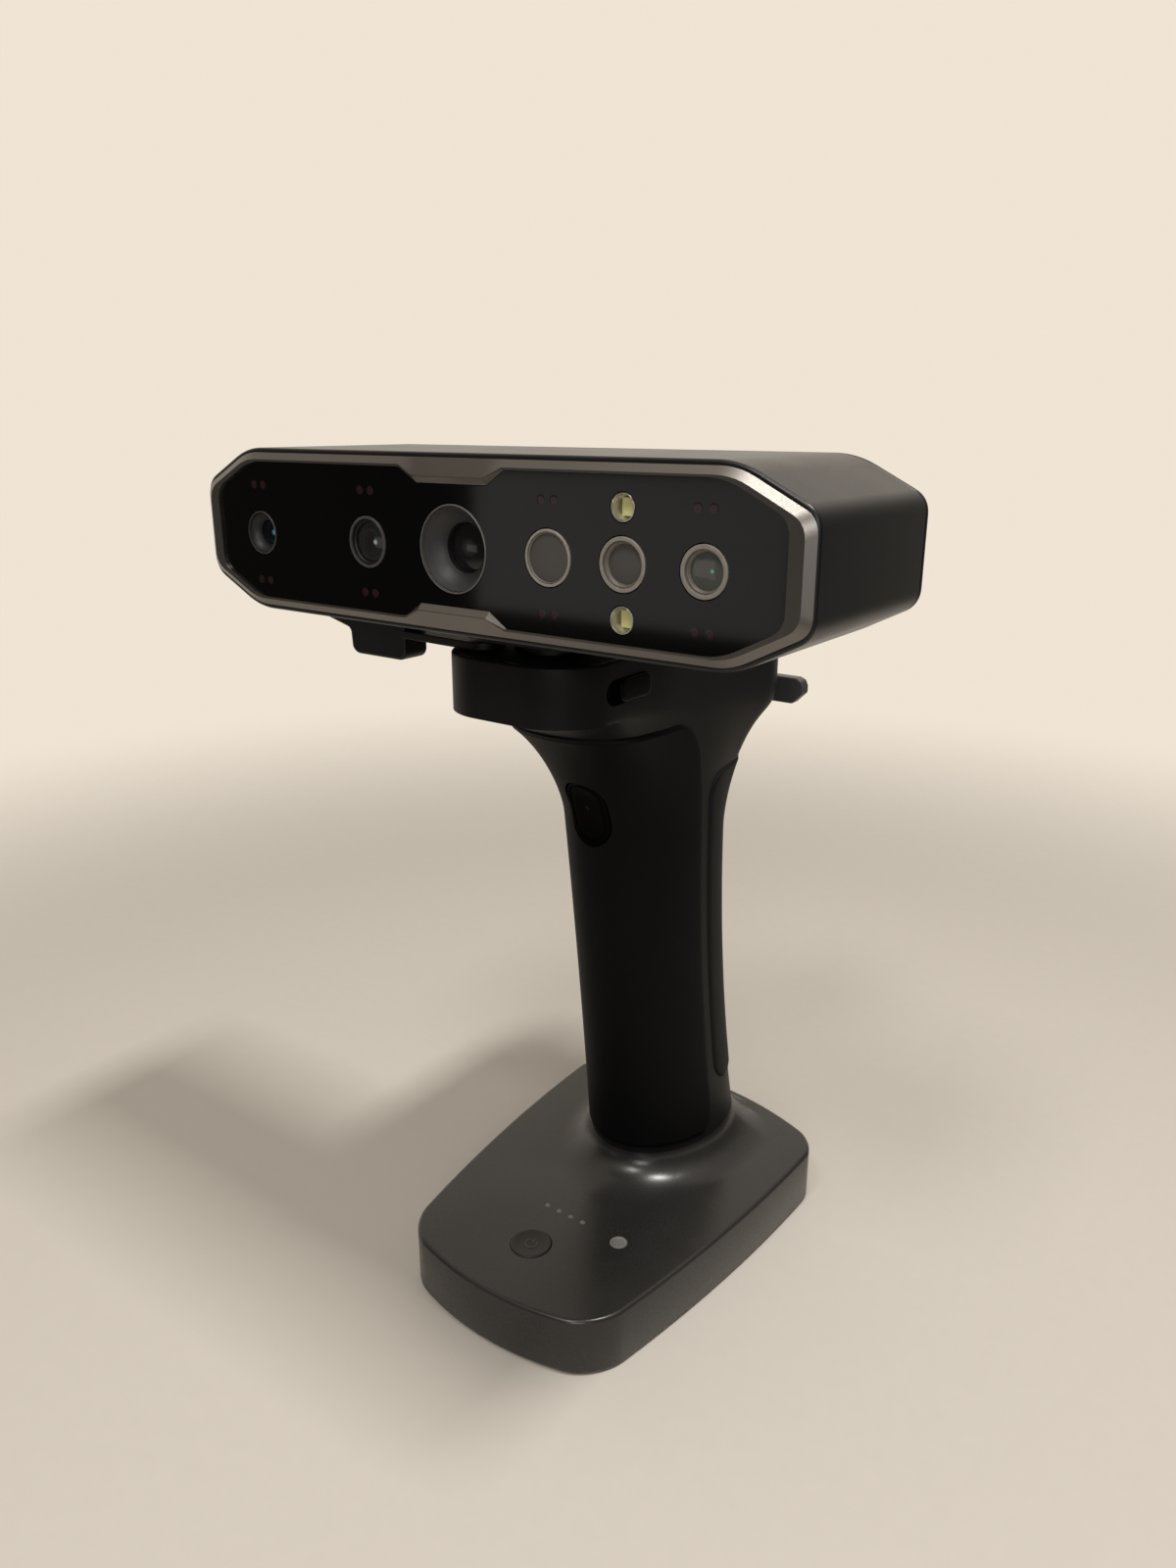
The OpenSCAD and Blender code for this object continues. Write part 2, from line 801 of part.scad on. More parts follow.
lever_x = -16;
lever_ahead = 12;
lever_y = plate_mid - lever_ahead;
lever_low = 7;
lever_rise = 7;
lever_high = lever_z + lever_rise;
lever_round = 3.5;
lever_hub = 1.5;
lever_tip_t = 2;
lever_lap = 1;
lever_pin_r = lever_pin_d / 2;
module lock_lever() {
    start = lever_x - lever_reach;
    end = start - lever_block;
    tip = end - lever_tip;
    low = lever_z - lever_low;
    color("#161618")
        difference() {
            union() {
                upright(lever_x, lever_y, lever_z, lever_top, lever_w / 2 + lever_hub);
                block([start - lever_lap, lever_y - lever_w / 2, lever_z],
                    [lever_x, lever_y + lever_w / 2, lever_top]);
                slab(lever_y - lever_w / 2, lever_w) {
                    polygon([[start, low + lever_round], [start, lever_high], [tip, lever_high],
                        [tip, lever_high - lever_tip_t], [end, lever_z - lever_tip_t],
                        [end, low + lever_round]]);
                    translate([end + lever_round, low])
                        square([lever_block - 2 * lever_round, 2 * lever_round]);
                    for (x = [start - lever_round, end + lever_round])
                        translate([x, low + lever_round])
                            circle(r = lever_round, $fn = round_fn);
                }
            }
            upright(lever_x, lever_y, lever_z - past, lever_top + past, lever_pin_r + running);
        }
}
pin_floor = 1;
pin_head_rim = 1.2;
module lever_pin() {
    color("#8b8d90") {
        upright(lever_x, lever_y, deck_z - deck_t + pin_floor, pin_head_z, lever_pin_r);
        upright(lever_x, lever_y, pin_head_z, pin_head_z + pin_head_t, lever_pin_r + pin_head_rim);
    }
}

// Handle shell: a lofted tube with the trigger's guide and the slider's recess
straight_rings = 12;
flare_rings = 14;
function handle_rings(inset) =
    let (edge = collar_outline(inset))
    concat(
        [for (k = [0 : straight_rings])
            let (q = k / straight_rings)
            [for (i = [0 : columns - 1]) handle_point(i, mix(neck_z, flare_low(i) + inset, q), inset, edge)]],
        [for (k = [1 : flare_rings])
            let (s = sin(right_angle * k / flare_rings))
            [for (i = [0 : columns - 1])
                handle_point(i, mix(flare_low(i), flare_top(i), s) + inset, inset, edge)]],
        [[for (i = [0 : columns - 1]) [edge[i][0], edge[i][1], deck_z]]]
    );

// The trigger's own frame: its Z runs out of the grip, square to the grip's front there
trigger_drop = 55.8;
trigger_z = deck_z - trigger_drop;
trigger_span = 11;
function front_y(z) = handle_point(front_mid, z, 0, collar_edge)[1];
trigger_tilt = atan2(front_y(trigger_z + trigger_span) - front_y(trigger_z - trigger_span), 2 * trigger_span);
trigger_proud = 0.6;
guide_wall = 2;
guide_top = -4.4;
guide_lip = 2.4;
guide_step = guide_top - guide_lip;
guide_bottom = -13;
trigger_out = 12;
dish_d = 0.5;
dish_edge = 2;
flange_t = 1.6;
flange_w = 1.2;
module in_trigger() {
    translate([0, front_y(trigger_z), trigger_z])
        rotate([right_angle - trigger_tilt, 0, 0])
            children();
}
module trigger_prism(low, high, grow) {
    translate([0, 0, low])
        linear_extrude(height = high - low)
            rotate(right_angle)
                stadium(trigger_len + 2 * grow, trigger_w + 2 * grow);
}
recess_setback = 27.2;
recess_mid = collar_front + recess_setback;
recess_clear = 0.2;
recess_rim = 0.8;
recess_z = deck_z - deck_t - recess_clear - recess_rim - recess_h / 2;
recess_floor = 3.5;
recess_back = 2;
recess_lip = 1;
recess_r = 2;
slot_w = 3;
module in_recess() {
    translate([flank_x, recess_mid, recess_z])
        rotate([right_angle, 0, right_angle])
            children();
}
module handle_shell() {
    color("#1b1b1d")
        difference() {
            union() {
                ring_solid(concat(handle_rings(0), backwards(handle_rings(wall))));
                in_trigger()
                    trigger_prism(guide_bottom, guide_top, slip + flange_w + slip + guide_wall);
                in_recess()
                    translate([0, 0, -recess_floor - recess_back])
                        linear_extrude(height = recess_floor + recess_back - recess_lip)
                            rounded_rect(recess_len + 2 * recess_rim, recess_h + 2 * recess_rim, recess_r);
            }
            in_trigger()
                trigger_prism(guide_bottom - past, trigger_out, slip);
            in_trigger()
                trigger_prism(guide_bottom - past, guide_step, slip + flange_w + slip);
            in_recess()
                translate([0, 0, -recess_floor])
                    linear_extrude(height = recess_floor + through)
                        stadium(recess_len, recess_h);
            in_recess()
                translate([0, 0, -recess_floor - recess_back - past])
                    linear_extrude(height = recess_floor + recess_back)
                        stadium(slot_w + 2 * slip + slider_travel, slot_w + 2 * slip);
        }
}
module trigger() {
    color("#101012")
        in_trigger()
            difference() {
                union() {
                    trigger_prism(guide_step - trigger_travel, trigger_proud, 0);
                    trigger_prism(guide_step - flange_t - slip, guide_step - slip, flange_w);
                }
                translate([0, 0, trigger_proud - dish_d])
                    linear_extrude(height = 2 * dish_d)
                        rotate(right_angle)
                            stadium(trigger_len - 2 * dish_edge, trigger_w - 2 * dish_edge);
            }
}
switch_size = 6;
module trigger_switch() {
    press = guide_step - flange_t - slip - trigger_travel - slip;
    color("#26282b")
        in_trigger() {
            trigger_prism(guide_bottom - board_t, guide_bottom, slip + flange_w + slip + guide_wall);
            translate([0, 0, (guide_bottom + press) / 2])
                cube([switch_size, switch_size, press - guide_bottom], center = true);
        }
}

slider_rest = (recess_len - slider_len) / 2 - slip;
slider_proud = 0.8;
clip_t = 1.6;
clip_rim = 2.5;
module release_slider() {
    color("#0e0e10")
        in_recess()
            translate([slider_rest, 0, 0]) {
                translate([0, 0, -recess_floor + slip])
                    linear_extrude(height = recess_floor - slip + slider_proud)
                        stadium(slider_len, recess_h - 2 * slip);
                translate([-slider_rest + slider_travel / 2, 0, -recess_floor - recess_back - slip - clip_t])
                    linear_extrude(height = recess_floor + recess_back)
                        circle(d = slot_w, $fn = round_fn);
            }
}
module slider_clip() {
    color("#8b8d90")
        in_recess()
            translate([slider_travel / 2, 0, -recess_floor - recess_back - slip - clip_t])
                linear_extrude(height = clip_t)
                    difference() {
                        circle(d = slot_w + 2 * clip_rim, $fn = round_fn);
                        circle(d = slot_w, $fn = round_fn);
                    }
}

deck_pillar_r = 2.5;
pillar_in_x = 8;
pillar_in_y = 5;
spine_t = 3;
spine_w = 26;
spine_shift = 1;
spine_y = grip_waist_y + spine_shift;
bridge_w = 32;
bridge_gap = 8.4;
bridge_margin = 4;
bridge_drop = 4.7;
bridge_r = 3;
bridge_front = spine_y + spine_t + bridge_gap;
bridge_len = collar_back - wall - bridge_margin - bridge_front;
bridge_mid = bridge_front + bridge_len / 2;
bridge_top = deck_z - deck_t - bridge_drop;
module for_deck_pillars() {
    for (x = [-1, 1], y = [-1, 1])
        translate([x * (bridge_w / 2 - pillar_in_x), bridge_mid + y * (bridge_len / 2 - pillar_in_y), 0])
            children();
}
module top_deck() {
    color("#131315")
        difference() {
            union() {
                translate([0, 0, deck_z - deck_t])
                    linear_extrude(height = deck_t)
                        collar_plan(wall + fit);
                for_deck_pillars()
                    upright(0, 0, bridge_top, deck_z - deck_t + past, deck_pillar_r);
            }
            upright(0, plate_mid, boss_seat, deck_z + past, boss_d / 2 + slip);
            upright(lever_x, lever_y, deck_z - deck_t + pin_floor, deck_z + past, lever_pin_r + tiny);
        }
}
module bridge_board() {
    color("#1f4a34")
        translate([0, bridge_mid, bridge_top - board_t])
            linear_extrude(height = board_t)
                rounded_rect(bridge_w, bridge_len, bridge_r);
}

// A skin patch on the handle between two columns, with rounded ends
skin_gap = 0.12;
skin_rows = 16;
panel_foot = 2;
panel_drop = 25;
panel_low = neck_z + panel_foot;
panel_high = deck_z - panel_drop;
panel_round = 16;
panel_round_n = 3;
strip_foot = 18.5;
strip_drop = 47.3;
strip_low = neck_z + strip_foot;
strip_high = deck_z - strip_drop;
strip_round = 10;
strip_round_n = 3;
strip_gap_n = 1;
strip_half = columns - panel_last - strip_gap_n;
function end_dip(i, mid, half, n, r) = r * (1 - sqrt(1 - pow(clamp01((abs(i - mid) - (half - n)) / n), 2)));
function skin_ring(q, first, last, low, high, n, r) =
    let (
        outer = collar_outline(-skin_gap - skin_t),
        inner = collar_outline(-skin_gap),
        mid = (first + last) / 2,
        half = (last - first) / 2,
        place = function (i, inset, edge)
            let (dip = end_dip(i, mid, half, n, r))
            handle_point(i % columns, mix(low + dip, high - dip, q), inset, edge)
    )
    concat(
        [for (i = [first : last]) place(i, -skin_gap - skin_t, outer)],
        [for (i = [last : -1 : first]) place(i, -skin_gap, inner)]
    );
function strip_faces(rows, across) =
    concat(
        [for (j = [0 : rows - 2], i = [0 : across - 1])
            each cell(j * across + i, j * across + (i + 1) % across,
                (j + 1) * across + (i + 1) % across, (j + 1) * across + i)],
        [for (i = [0 : across / 2 - 2])
            each cell(i + 1, i, across - 1 - i, across - 2 - i)],
        [for (i = [0 : across / 2 - 2])
            let (k = (rows - 1) * across)
            each cell(k + i, k + i + 1, k + across - 2 - i, k + across - 1 - i)]
    );
module skin(first, last, low, high, n, r) {
    rings = [for (k = [0 : skin_rows]) skin_ring(k / skin_rows, first, last, low, high, n, r)];
    polyhedron(points = [for (ring = rings) each ring], faces = strip_faces(len(rings), len(rings[0])));
}
module grip_panel() {
    color("#0f0f10")
        difference() {
            skin(panel_first, panel_last, panel_low, panel_high, panel_round_n, panel_round);
            in_trigger()
                trigger_prism(guide_bottom, trigger_out, slip);
        }
}
module rear_strip() {
    color("#121213")
        skin(columns - strip_half, columns + strip_half, strip_low, strip_high, strip_round_n, strip_round);
}

// Phone ledge on the back of the top body, hinged at its lower edge
ledge_gap = 1.2;
ledge_drop = 37.6;
ledge_y = collar_back + ledge_gap + ledge_t / 2;
ledge_low = deck_z - ledge_drop;
ledge_pin_z = ledge_low + ledge_t / 2;
ledge_pin_r = ledge_pin_d / 2;
knuckle = 14;
ear_t = 4;
ear_sunk = 1.8;
ear_room = 1;
ledge_r = 3;
ledge_cut = 7.2;
module phone_ledge() {
    color("#2a2a2c")
        difference() {
            union() {
                slab(ledge_y - ledge_t / 2, ledge_t)
                    difference() {
                        translate([0, ledge_pin_z + (ledge_h - ledge_t / 2) / 2])
                            rounded_rect(ledge_w, ledge_h - ledge_t / 2, ledge_r);
                        for (side = [-1, 1])
                            translate([side * ledge_w / 2, ledge_pin_z])
                                rotate(half_right)
                                    square(ledge_cut, center = true);
                    }
                along_x(-knuckle / 2, knuckle / 2, ledge_y, ledge_pin_z, ledge_t / 2);
            }
            along_x(-ledge_w, ledge_w, ledge_y, ledge_pin_z, ledge_pin_r + running);
            for (side = [-1, 1])
                translate([side * (knuckle / 2 + slip + ear_t / 2), ledge_y, ledge_pin_z])
                    cube([ear_t + 2 * slip, 3 * ledge_t, ledge_t + ear_room], center = true);
        }
}
module ledge_bracket() {
    color("#1b1b1d")
        difference() {
            for (side = [-1, 1]) {
                x = side * (knuckle / 2 + slip + ear_t / 2);
                along_x(x - ear_t / 2, x + ear_t / 2, ledge_y, ledge_pin_z, ledge_t / 2);
                block([x - ear_t / 2, collar_back - ear_sunk, ledge_pin_z - ledge_t / 2],
                    [x + ear_t / 2, ledge_y, ledge_pin_z + ledge_t / 2]);
            }
            along_x(-ledge_w, ledge_w, ledge_y, ledge_pin_z, ledge_pin_r + tiny);
        }
}
module ledge_pin() {
    half = knuckle / 2 + slip + ear_t;
    color("#8b8d90")
        along_x(-half, half, ledge_y, ledge_pin_z, ledge_pin_r);
}

// Spine and cells inside the grip
plate_floor = pad_t + base_plate_t;
cell_r = 9.2;
cell_len = 65;
cell_rise = 29;
cell_z = neck_z + cell_rise;
module spine() {
    color("#303236")
        block([-spine_w / 2, spine_y, plate_floor], [spine_w / 2, spine_y + spine_t, deck_z - deck_t]);
}
module battery_cells() {
    color("#2c5f86")
        for (y = [spine_y - cell_r - fit, spine_y + spine_t + cell_r + fit])
            upright(0, y, cell_z, cell_z + cell_len, cell_r);
}

// Foot: a lofted shell with a flat top that meets the grip in a fillet
fillet_rings = 8;
fillet_share = 0.8;
edge_rings = 4;
function fillet_point(i, z, out, inset, rim) =
    let (
        p = grip_point(i, z, inset),
        away = rim[i] - p,
        reach = min(fillet_reach + inset, fillet_share * norm(away)),
        q = p + out * reach * away / norm(away)
    )
    [q[0], q[1], z];
function foot_rings(inset) =
    let (
        low = base_wall_h - inset,
        wall_edge = base_outline(inset),
        rim = base_outline(inset + base_edge_r)
    )
    concat(
        [[for (p = wall_edge) [p[0], p[1], pad_t]]],
        [for (k = [0 : edge_rings - 1])
            let (
                a = right_angle * k / edge_rings,
                edge = base_outline(inset + base_edge_r * (1 - cos(a)))
            )
            [for (p = edge) [p[0], p[1], low - base_edge_r * (1 - sin(a))]]],
        [[for (p = rim) [p[0], p[1], low]]],
        [for (k = [0 : fillet_rings])
            let (a = right_angle * k / fillet_rings)
            [for (i = [0 : columns - 1])
                fillet_point(i, mix(neck_z, low, cos(a)), 1 - sin(a), inset, rim)]]
    );

power_y = base_front + power_setback;
lights_y = base_front + charge_light_setback;
status_y = base_front + status_setback;
power_r = power_d / 2;
charge_r = charge_light_d / 2;
status_r = status_d / 2;
control_rise = 4.3;
control_z = plate_floor + control_rise;
control_top = control_z + board_t;
charge_count = 4;
port_rise = 2.4;
port_z = control_z + port_rise;
port_w = socket_w;
port_h = socket_h;
port_len = 8;
port_sunk = 0.3;
port_back = base_len / 2 - port_sunk;
module for_charge_lights() {
    for (i = [0 : charge_count - 1])
        translate([(i - (charge_count - 1) / 2) * charge_light_pitch, lights_y, 0])
            children();
}
module base_shell() {
    color("#242426")
        difference() {
            ring_solid(concat(foot_rings(0), backwards(foot_rings(wall))));
            upright(0, power_y, control_z, neck_z, power_r + slip);
            for_charge_lights()
                upright(0, 0, control_z, neck_z, charge_r + running);
            upright(status_x, status_y, control_z, neck_z, status_r + running);
            translate([0, 0, port_z])
                slab(base_len / 2 - 3 * wall, 4 * wall)
                    rounded_rect(port_w + 2 * fit, port_h + 2 * fit, socket_r);
        }
}
base_screw_r = 1.5;
post_r = 3.5;
control_w = 66;
control_len = 56;
control_in = 14;
control_r = 4;
control_mid = base_front + control_in + control_len / 2;
post_in_x = 6;
post_in_y = 7;
base_head_h = 1.2;
base_head_rim = 1;
pad_in = 1.4;
port_rest = 1;
module for_posts() {
    for (x = [-1, 1], y = [-1, 1])
        translate([x * (control_w / 2 - post_in_x), control_mid + y * (control_len / 2 - post_in_y), 0])
            children();
}
module base_plate() {
    color("#19191b")
        difference() {
            union() {
                translate([0, 0, pad_t])
                    linear_extrude(height = base_plate_t)
                        polygon(base_outline(wall + fit));
                for_posts()
                    upright(0, 0, plate_floor - past, control_z, post_r);
                block([-port_w, port_back - port_len, plate_floor - past],
                    [port_w, port_back - wall - port_rest, port_z - port_h / 2]);
            }
            for_posts()
                upright(0, 0, pad_t - past, control_z + past, base_screw_r + tiny);
        }
}
module base_screws() {
    color("#8b8d90")
        for_posts() {
            upright(0, 0, pad_t, control_top, base_screw_r);
            upright(0, 0, control_top, control_top + base_head_h, base_screw_r + base_head_rim);
        }
}
module foot_pad() {
    color("#0c0c0d")
        linear_extrude(height = pad_t)
            polygon(base_outline(wall + pad_in));
}
module control_board() {
    color("#1f4a34")
        translate([0, control_mid, control_z])
            difference() {
                linear_extrude(height = board_t)
                    rounded_rect(control_w, control_len, control_r);
                translate([0, -control_mid, -control_z])
                    for_posts()
                        upright(0, 0, control_z - past, control_top + past, base_screw_r + slip);
            }
}
power_proud = 0.5;
power_top = base_wall_h + power_proud;
power_under = base_wall_h - wall - slip;
power_flange = 1.4;
power_rim = 1.2;
plunger_r = 2;
switch_h = 2;
switch_top = control_top + switch_h;
status_proud = 0.2;
module power_button() {
    color("#141416") {
        upright(0, power_y, power_under, power_top, power_r);
        upright(0, power_y, power_under - power_flange, power_under, power_r + power_rim);
        upright(0, power_y, switch_top + power_travel + slip, power_under, plunger_r);
    }
}
module power_switch() {
    color("#3a3b3d")
        block([-switch_size / 2, power_y - switch_size / 2, control_top],
            [switch_size / 2, power_y + switch_size / 2, switch_top]);
}
module charge_lights() {
    color("#5a5b5c")
        for_charge_lights()
            upright(0, 0, control_top, base_wall_h + running, charge_r);
}
module status_light() {
    color("#8f9092")
        upright(status_x, status_y, control_top, base_wall_h + status_proud, status_r);
}
module charge_socket() {
    color("#a9abad")
        translate([0, 0, port_z])
            difference() {
                slab(port_back - port_len, port_len)
                    rounded_rect(port_w, port_h, socket_r);
                slab(port_back - port_len + socket_floor, port_len)
                    rounded_rect(port_w - 2 * socket_wall, port_h - 2 * socket_wall, socket_r - socket_wall);
            }
}

head_shell();
rear_cover();
front_bezel();
front_window();
optical_bench();
far_left_barrel();
near_left_barrel();
projector_barrel();
laser_barrel();
colour_barrel();
right_barrel();
far_left_lens();
near_left_lens();
projector_lens();
laser_lens();
colour_lens();
right_lens();
white_light_cups();
white_light_chips();
infrared_lights();
sensor_boards();
projector_module();
heat_sink();
main_board();
board_standoffs();
link_socket();
cover_screws();
tripod_insert();
quick_release_plate();
plate_screw();
lock_lever();
lever_pin();
handle_shell();
top_deck();
grip_panel();
rear_strip();
trigger();
trigger_switch();
release_slider();
slider_clip();
phone_ledge();
ledge_bracket();
ledge_pin();
spine();
battery_cells();
bridge_board();
base_shell();
base_plate();
foot_pad();
power_button();
power_switch();
charge_lights();
status_light();
control_board();
charge_socket();
base_screws();
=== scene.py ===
"""Looks of a hand-held three-d scanner on its desk grip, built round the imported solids."""
import logging
import math
from dataclasses import dataclass, field
from enum import Enum
from typing import Callable, Sequence

import bpy
from mathutils import Matrix, Vector

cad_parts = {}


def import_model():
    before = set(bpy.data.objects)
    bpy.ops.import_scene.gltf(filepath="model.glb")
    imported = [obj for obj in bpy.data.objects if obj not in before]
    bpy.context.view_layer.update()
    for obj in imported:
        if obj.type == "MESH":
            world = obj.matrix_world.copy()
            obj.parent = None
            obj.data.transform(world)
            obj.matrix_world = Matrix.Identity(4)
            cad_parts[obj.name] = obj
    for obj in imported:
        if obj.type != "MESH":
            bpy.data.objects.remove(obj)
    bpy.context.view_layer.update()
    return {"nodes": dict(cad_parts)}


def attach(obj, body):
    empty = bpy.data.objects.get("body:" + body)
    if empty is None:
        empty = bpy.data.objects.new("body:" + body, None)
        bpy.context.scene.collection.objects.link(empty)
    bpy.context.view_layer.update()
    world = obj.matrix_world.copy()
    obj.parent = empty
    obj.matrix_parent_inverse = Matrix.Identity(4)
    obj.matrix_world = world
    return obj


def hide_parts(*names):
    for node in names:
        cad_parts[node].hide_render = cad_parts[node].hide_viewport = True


LOG = logging.getLogger("scanner")
MM = 0.001
MERGE = 1e-6
SHARP = 32.0
UP = Vector((0, 0, 1))
INWARD = Vector((0, 1, 0))
SOCKET_MOUTH = (4.65, 1.85)
Piece = bpy.types.Object
Material = bpy.types.Material
Place = Callable[[float, float], Vector]
Pair = tuple[float, float]
Colour = tuple[float, float, float]
Insets = tuple[float, float, float]


# Shader tools


class Wire:
    """An output socket that takes part in Python expressions."""

    def __init__(self, graph: "Graph", socket: bpy.types.NodeSocket) -> None:
        """Keeps the socket and the graph that new Math nodes go to."""
        self.graph = graph
        self.socket = socket

    def math(self, operation: str, *values: "Wire | float") -> "Wire":
        """Adds a Math node with these values in its sockets and gives its result."""
        return self.graph.node("ShaderNodeMath", {"operation": operation}, dict(enumerate(values)))

    def __add__(self, other: "Wire | float") -> "Wire":
        """Sum."""
        return self.math("ADD", self, other)

    __radd__ = __add__

    def __mul__(self, other: "Wire | float") -> "Wire":
        """Product."""
        return self.math("MULTIPLY", self, other)

    __rmul__ = __mul__

    def __sub__(self, other: "Wire | float") -> "Wire":
        """Difference."""
        return self.math("SUBTRACT", self, other)

    def __rsub__(self, other: "Wire | float") -> "Wire":
        """Difference from a number."""
        return self.math("SUBTRACT", other, self)

    def __truediv__(self, other: "Wire | float") -> "Wire":
        """Quotient."""
        return self.math("DIVIDE", self, other)

    def __rtruediv__(self, other: "Wire | float") -> "Wire":
        """Quotient of a number."""
        return self.math("DIVIDE", other, self)

    def __pow__(self, other: "Wire | float") -> "Wire":
        """Power."""
        return self.math("POWER", self, other)

    def __rpow__(self, other: "Wire | float") -> "Wire":
        """Power of a number."""
        return self.math("POWER", other, self)

    def clamp(self) -> "Wire":
        """The value held between 0 and 1."""
        return self.math("MINIMUM", self.math("MAXIMUM", self, 0.0), 1.0)

    def swing(self, span: float) -> "Wire":
        """A value from 0 to 1 turned into one about zero, of a span."""
        return (self - 0.5) * span

    def hypot(self, other: "Wire") -> "Wire":
        """Length of the line that goes so far across and so far up."""
        return self.math("SQRT", self * self + other * other)


class Graph:
    """Node tree of a material or of the world, with one method for every node."""

    def __init__(self, name: str, world: bool = False) -> None:
        """Starts an empty tree.

        Args:
            name: The material's or the world's name.
            world: Whether it is the world's.
        """
        self.owner = bpy.data.worlds.new(name) if world else bpy.data.materials.new(name)
        self.owner.use_nodes = True
        self.tree = self.owner.node_tree
        self.tree.nodes.clear()

    def node(self, kind: str, settings: dict | None = None, inputs: dict | None = None,
             out: int | str = 0) -> Wire:
        """Adds any node.

        Args:
            kind: The node's type.
            settings: Properties that are set first; "stops" fills a colour ramp.
            inputs: Socket name or index to a value or a Wire.
            out: Output socket to hand back.

        Returns:
            The chosen output.
        """
        made = self.tree.nodes.new(kind)
        for key, value in (settings or {}).items():
            if key == "stops":
                self.fill_ramp(made.color_ramp, value)
            else:
                setattr(made, key, value)
        for key, value in (inputs or {}).items():
            if isinstance(value, Wire):
                self.tree.links.new(value.socket, made.inputs[key])
            else:
                made.inputs[key].default_value = value
        return Wire(self, made.outputs[out])

    @staticmethod
    def fill_ramp(ramp: bpy.types.ColorRamp, stops: Sequence[Pair]) -> None:
        """Sets a ramp's grey stops.

        Args:
            ramp: The ramp.
            stops: Position and grey level of each stop.
        """
        while len(ramp.elements) < len(stops):
            ramp.elements.new(0.5)
        for element, (place, level) in zip(ramp.elements, stops):
            element.position = place
            element.color = (level, level, level, 1.0)

    def where(self) -> Wire:
        """Object coordinates, in metres."""
        return self.node("ShaderNodeTexCoord", out="Object")

    def plane(self, centre: Pair, radius: float = 1.0) -> tuple[Wire, Wire]:
        """Distances across and up from a point of the head's front.

        Args:
            centre: The point, X and Z in metres.
            radius: What counts as 1.

        Returns:
            The two distances.
        """
        split = self.node("ShaderNodeSeparateXYZ", None, {0: self.where()}).socket.node
        across, up = Wire(self, split.outputs[0]), Wire(self, split.outputs[2])
        return (across - centre[0]) / radius, (up - centre[1]) / radius

    def noise(self, scale: float, detail: float = 3.0, roughness: float = 0.55) -> Wire:
        """Noise of so many cells a metre."""
        values = {"Vector": self.where(), "Scale": scale, "Detail": detail, "Roughness": roughness}
        return self.node("ShaderNodeTexNoise", None, values)

    def cells(self, scale: float) -> Wire:
        """Distance to the nearest of so many cell centres a metre."""
        return self.node("ShaderNodeTexVoronoi", None, {"Vector": self.where(), "Scale": scale})

    def blend(self, factor: Wire, first: Wire | Sequence[float], second: Wire | Sequence[float]) -> Wire:
        """Mixes two linear colours, or wires that carry them; 0 gives the first, 1 the second."""
        ends = [c if isinstance(c, Wire) else (*c, 1.0) for c in (first, second)]
        return self.node("ShaderNodeMix", {"data_type": "RGBA"}, {0: factor, 6: ends[0], 7: ends[1]}, 2)

    def along(self, way: Wire, axis: Sequence[float]) -> Wire:
        """Share of a direction that lies along an axis."""
        return self.node("ShaderNodeVectorMath", {"operation": "DOT_PRODUCT"}, {0: way, 1: axis}, "Value")

    def ease(self, value: Wire, low: float, high: float) -> Wire:
        """Soft step from 0 at one value to 1 at another."""
        values = {"Value": value, "From Min": low, "From Max": high}
        return self.node("ShaderNodeMapRange", {"interpolation_type": "SMOOTHSTEP"}, values)

    def end(self, kind: str, surface: Wire) -> None:
        """Adds the tree's output node, which shows a surface."""
        self.tree.links.new(surface.socket, self.tree.nodes.new(kind).inputs["Surface"])

    def bump(self, height: Wire, strength: float, distance: float) -> Wire:
        """Turns a height in 0 to 1 into a normal."""
        values = {"Strength": strength, "Distance": distance, "Height": height}
        return self.node("ShaderNodeBump", None, values, "Normal")

    def finish(self, **inputs: "Wire | float | tuple") -> Material:
        """Adds the surface shader and the output.

        Args:
            inputs: Principled sockets, with underscores for spaces.

        Returns:
            The finished material.
        """
        values = {key.replace("_", " "): value for key, value in inputs.items()}
        self.end("ShaderNodeOutputMaterial", self.node("ShaderNodeBsdfPrincipled", None, values))
        return self.owner


# Finishes


def scaled(colour: Colour, factor: float) -> Colour:
    """A colour made lighter or darker."""
    return tuple(factor * c for c in colour)


@dataclass(frozen=True)
class MouldedPlastic:
    """Spark-eroded plastic: fine grain, faint mottling and a satin sheen."""

    name: str
    colour: Colour
    roughness: float = 0.46
    grain: float = 2600.0
    depth: float = 0.00006
    sheen: float = 0.34
    mottle: float = 55.0
    lighter: float = 1.35

    def material(self) -> Material:
        """Builds the material.

        Returns:
            The material.
        """
        graph = Graph(self.name)
        grain = graph.noise(self.grain, 4.0, 0.6)
        mottle = graph.noise(self.mottle, 4.0)
        return graph.finish(Base_Color=graph.blend(mottle, self.colour, scaled(self.colour, self.lighter)),
                            Roughness=self.roughness + grain.swing(0.16) + mottle.swing(0.1),
                            Specular_IOR_Level=self.sheen, Normal=graph.bump(grain, 0.35, self.depth))


@dataclass(frozen=True)
class SoftRubber:
    """Soft-touch skin: darker than the shell, with a velvety matt grain."""

    name: str
    colour: Colour
    roughness: float = 0.58
    grain: float = 3600.0
    gloss: float = 0.12
    depth: float = 0.00005
    patch: float = 38.0
    dusty: float = 1.7

    def material(self) -> Material:
        """Builds the material.

        Returns:
            The material.
        """
        graph = Graph(self.name)
        grain = graph.cells(self.grain)
        patch = graph.noise(self.patch, 5.0)
        return graph.finish(Base_Color=graph.blend(patch, self.colour, scaled(self.colour, self.dusty)),
                            Roughness=self.roughness + patch.swing(0.14),
                            Specular_IOR_Level=self.gloss, Normal=graph.bump(grain, 0.25, self.depth))


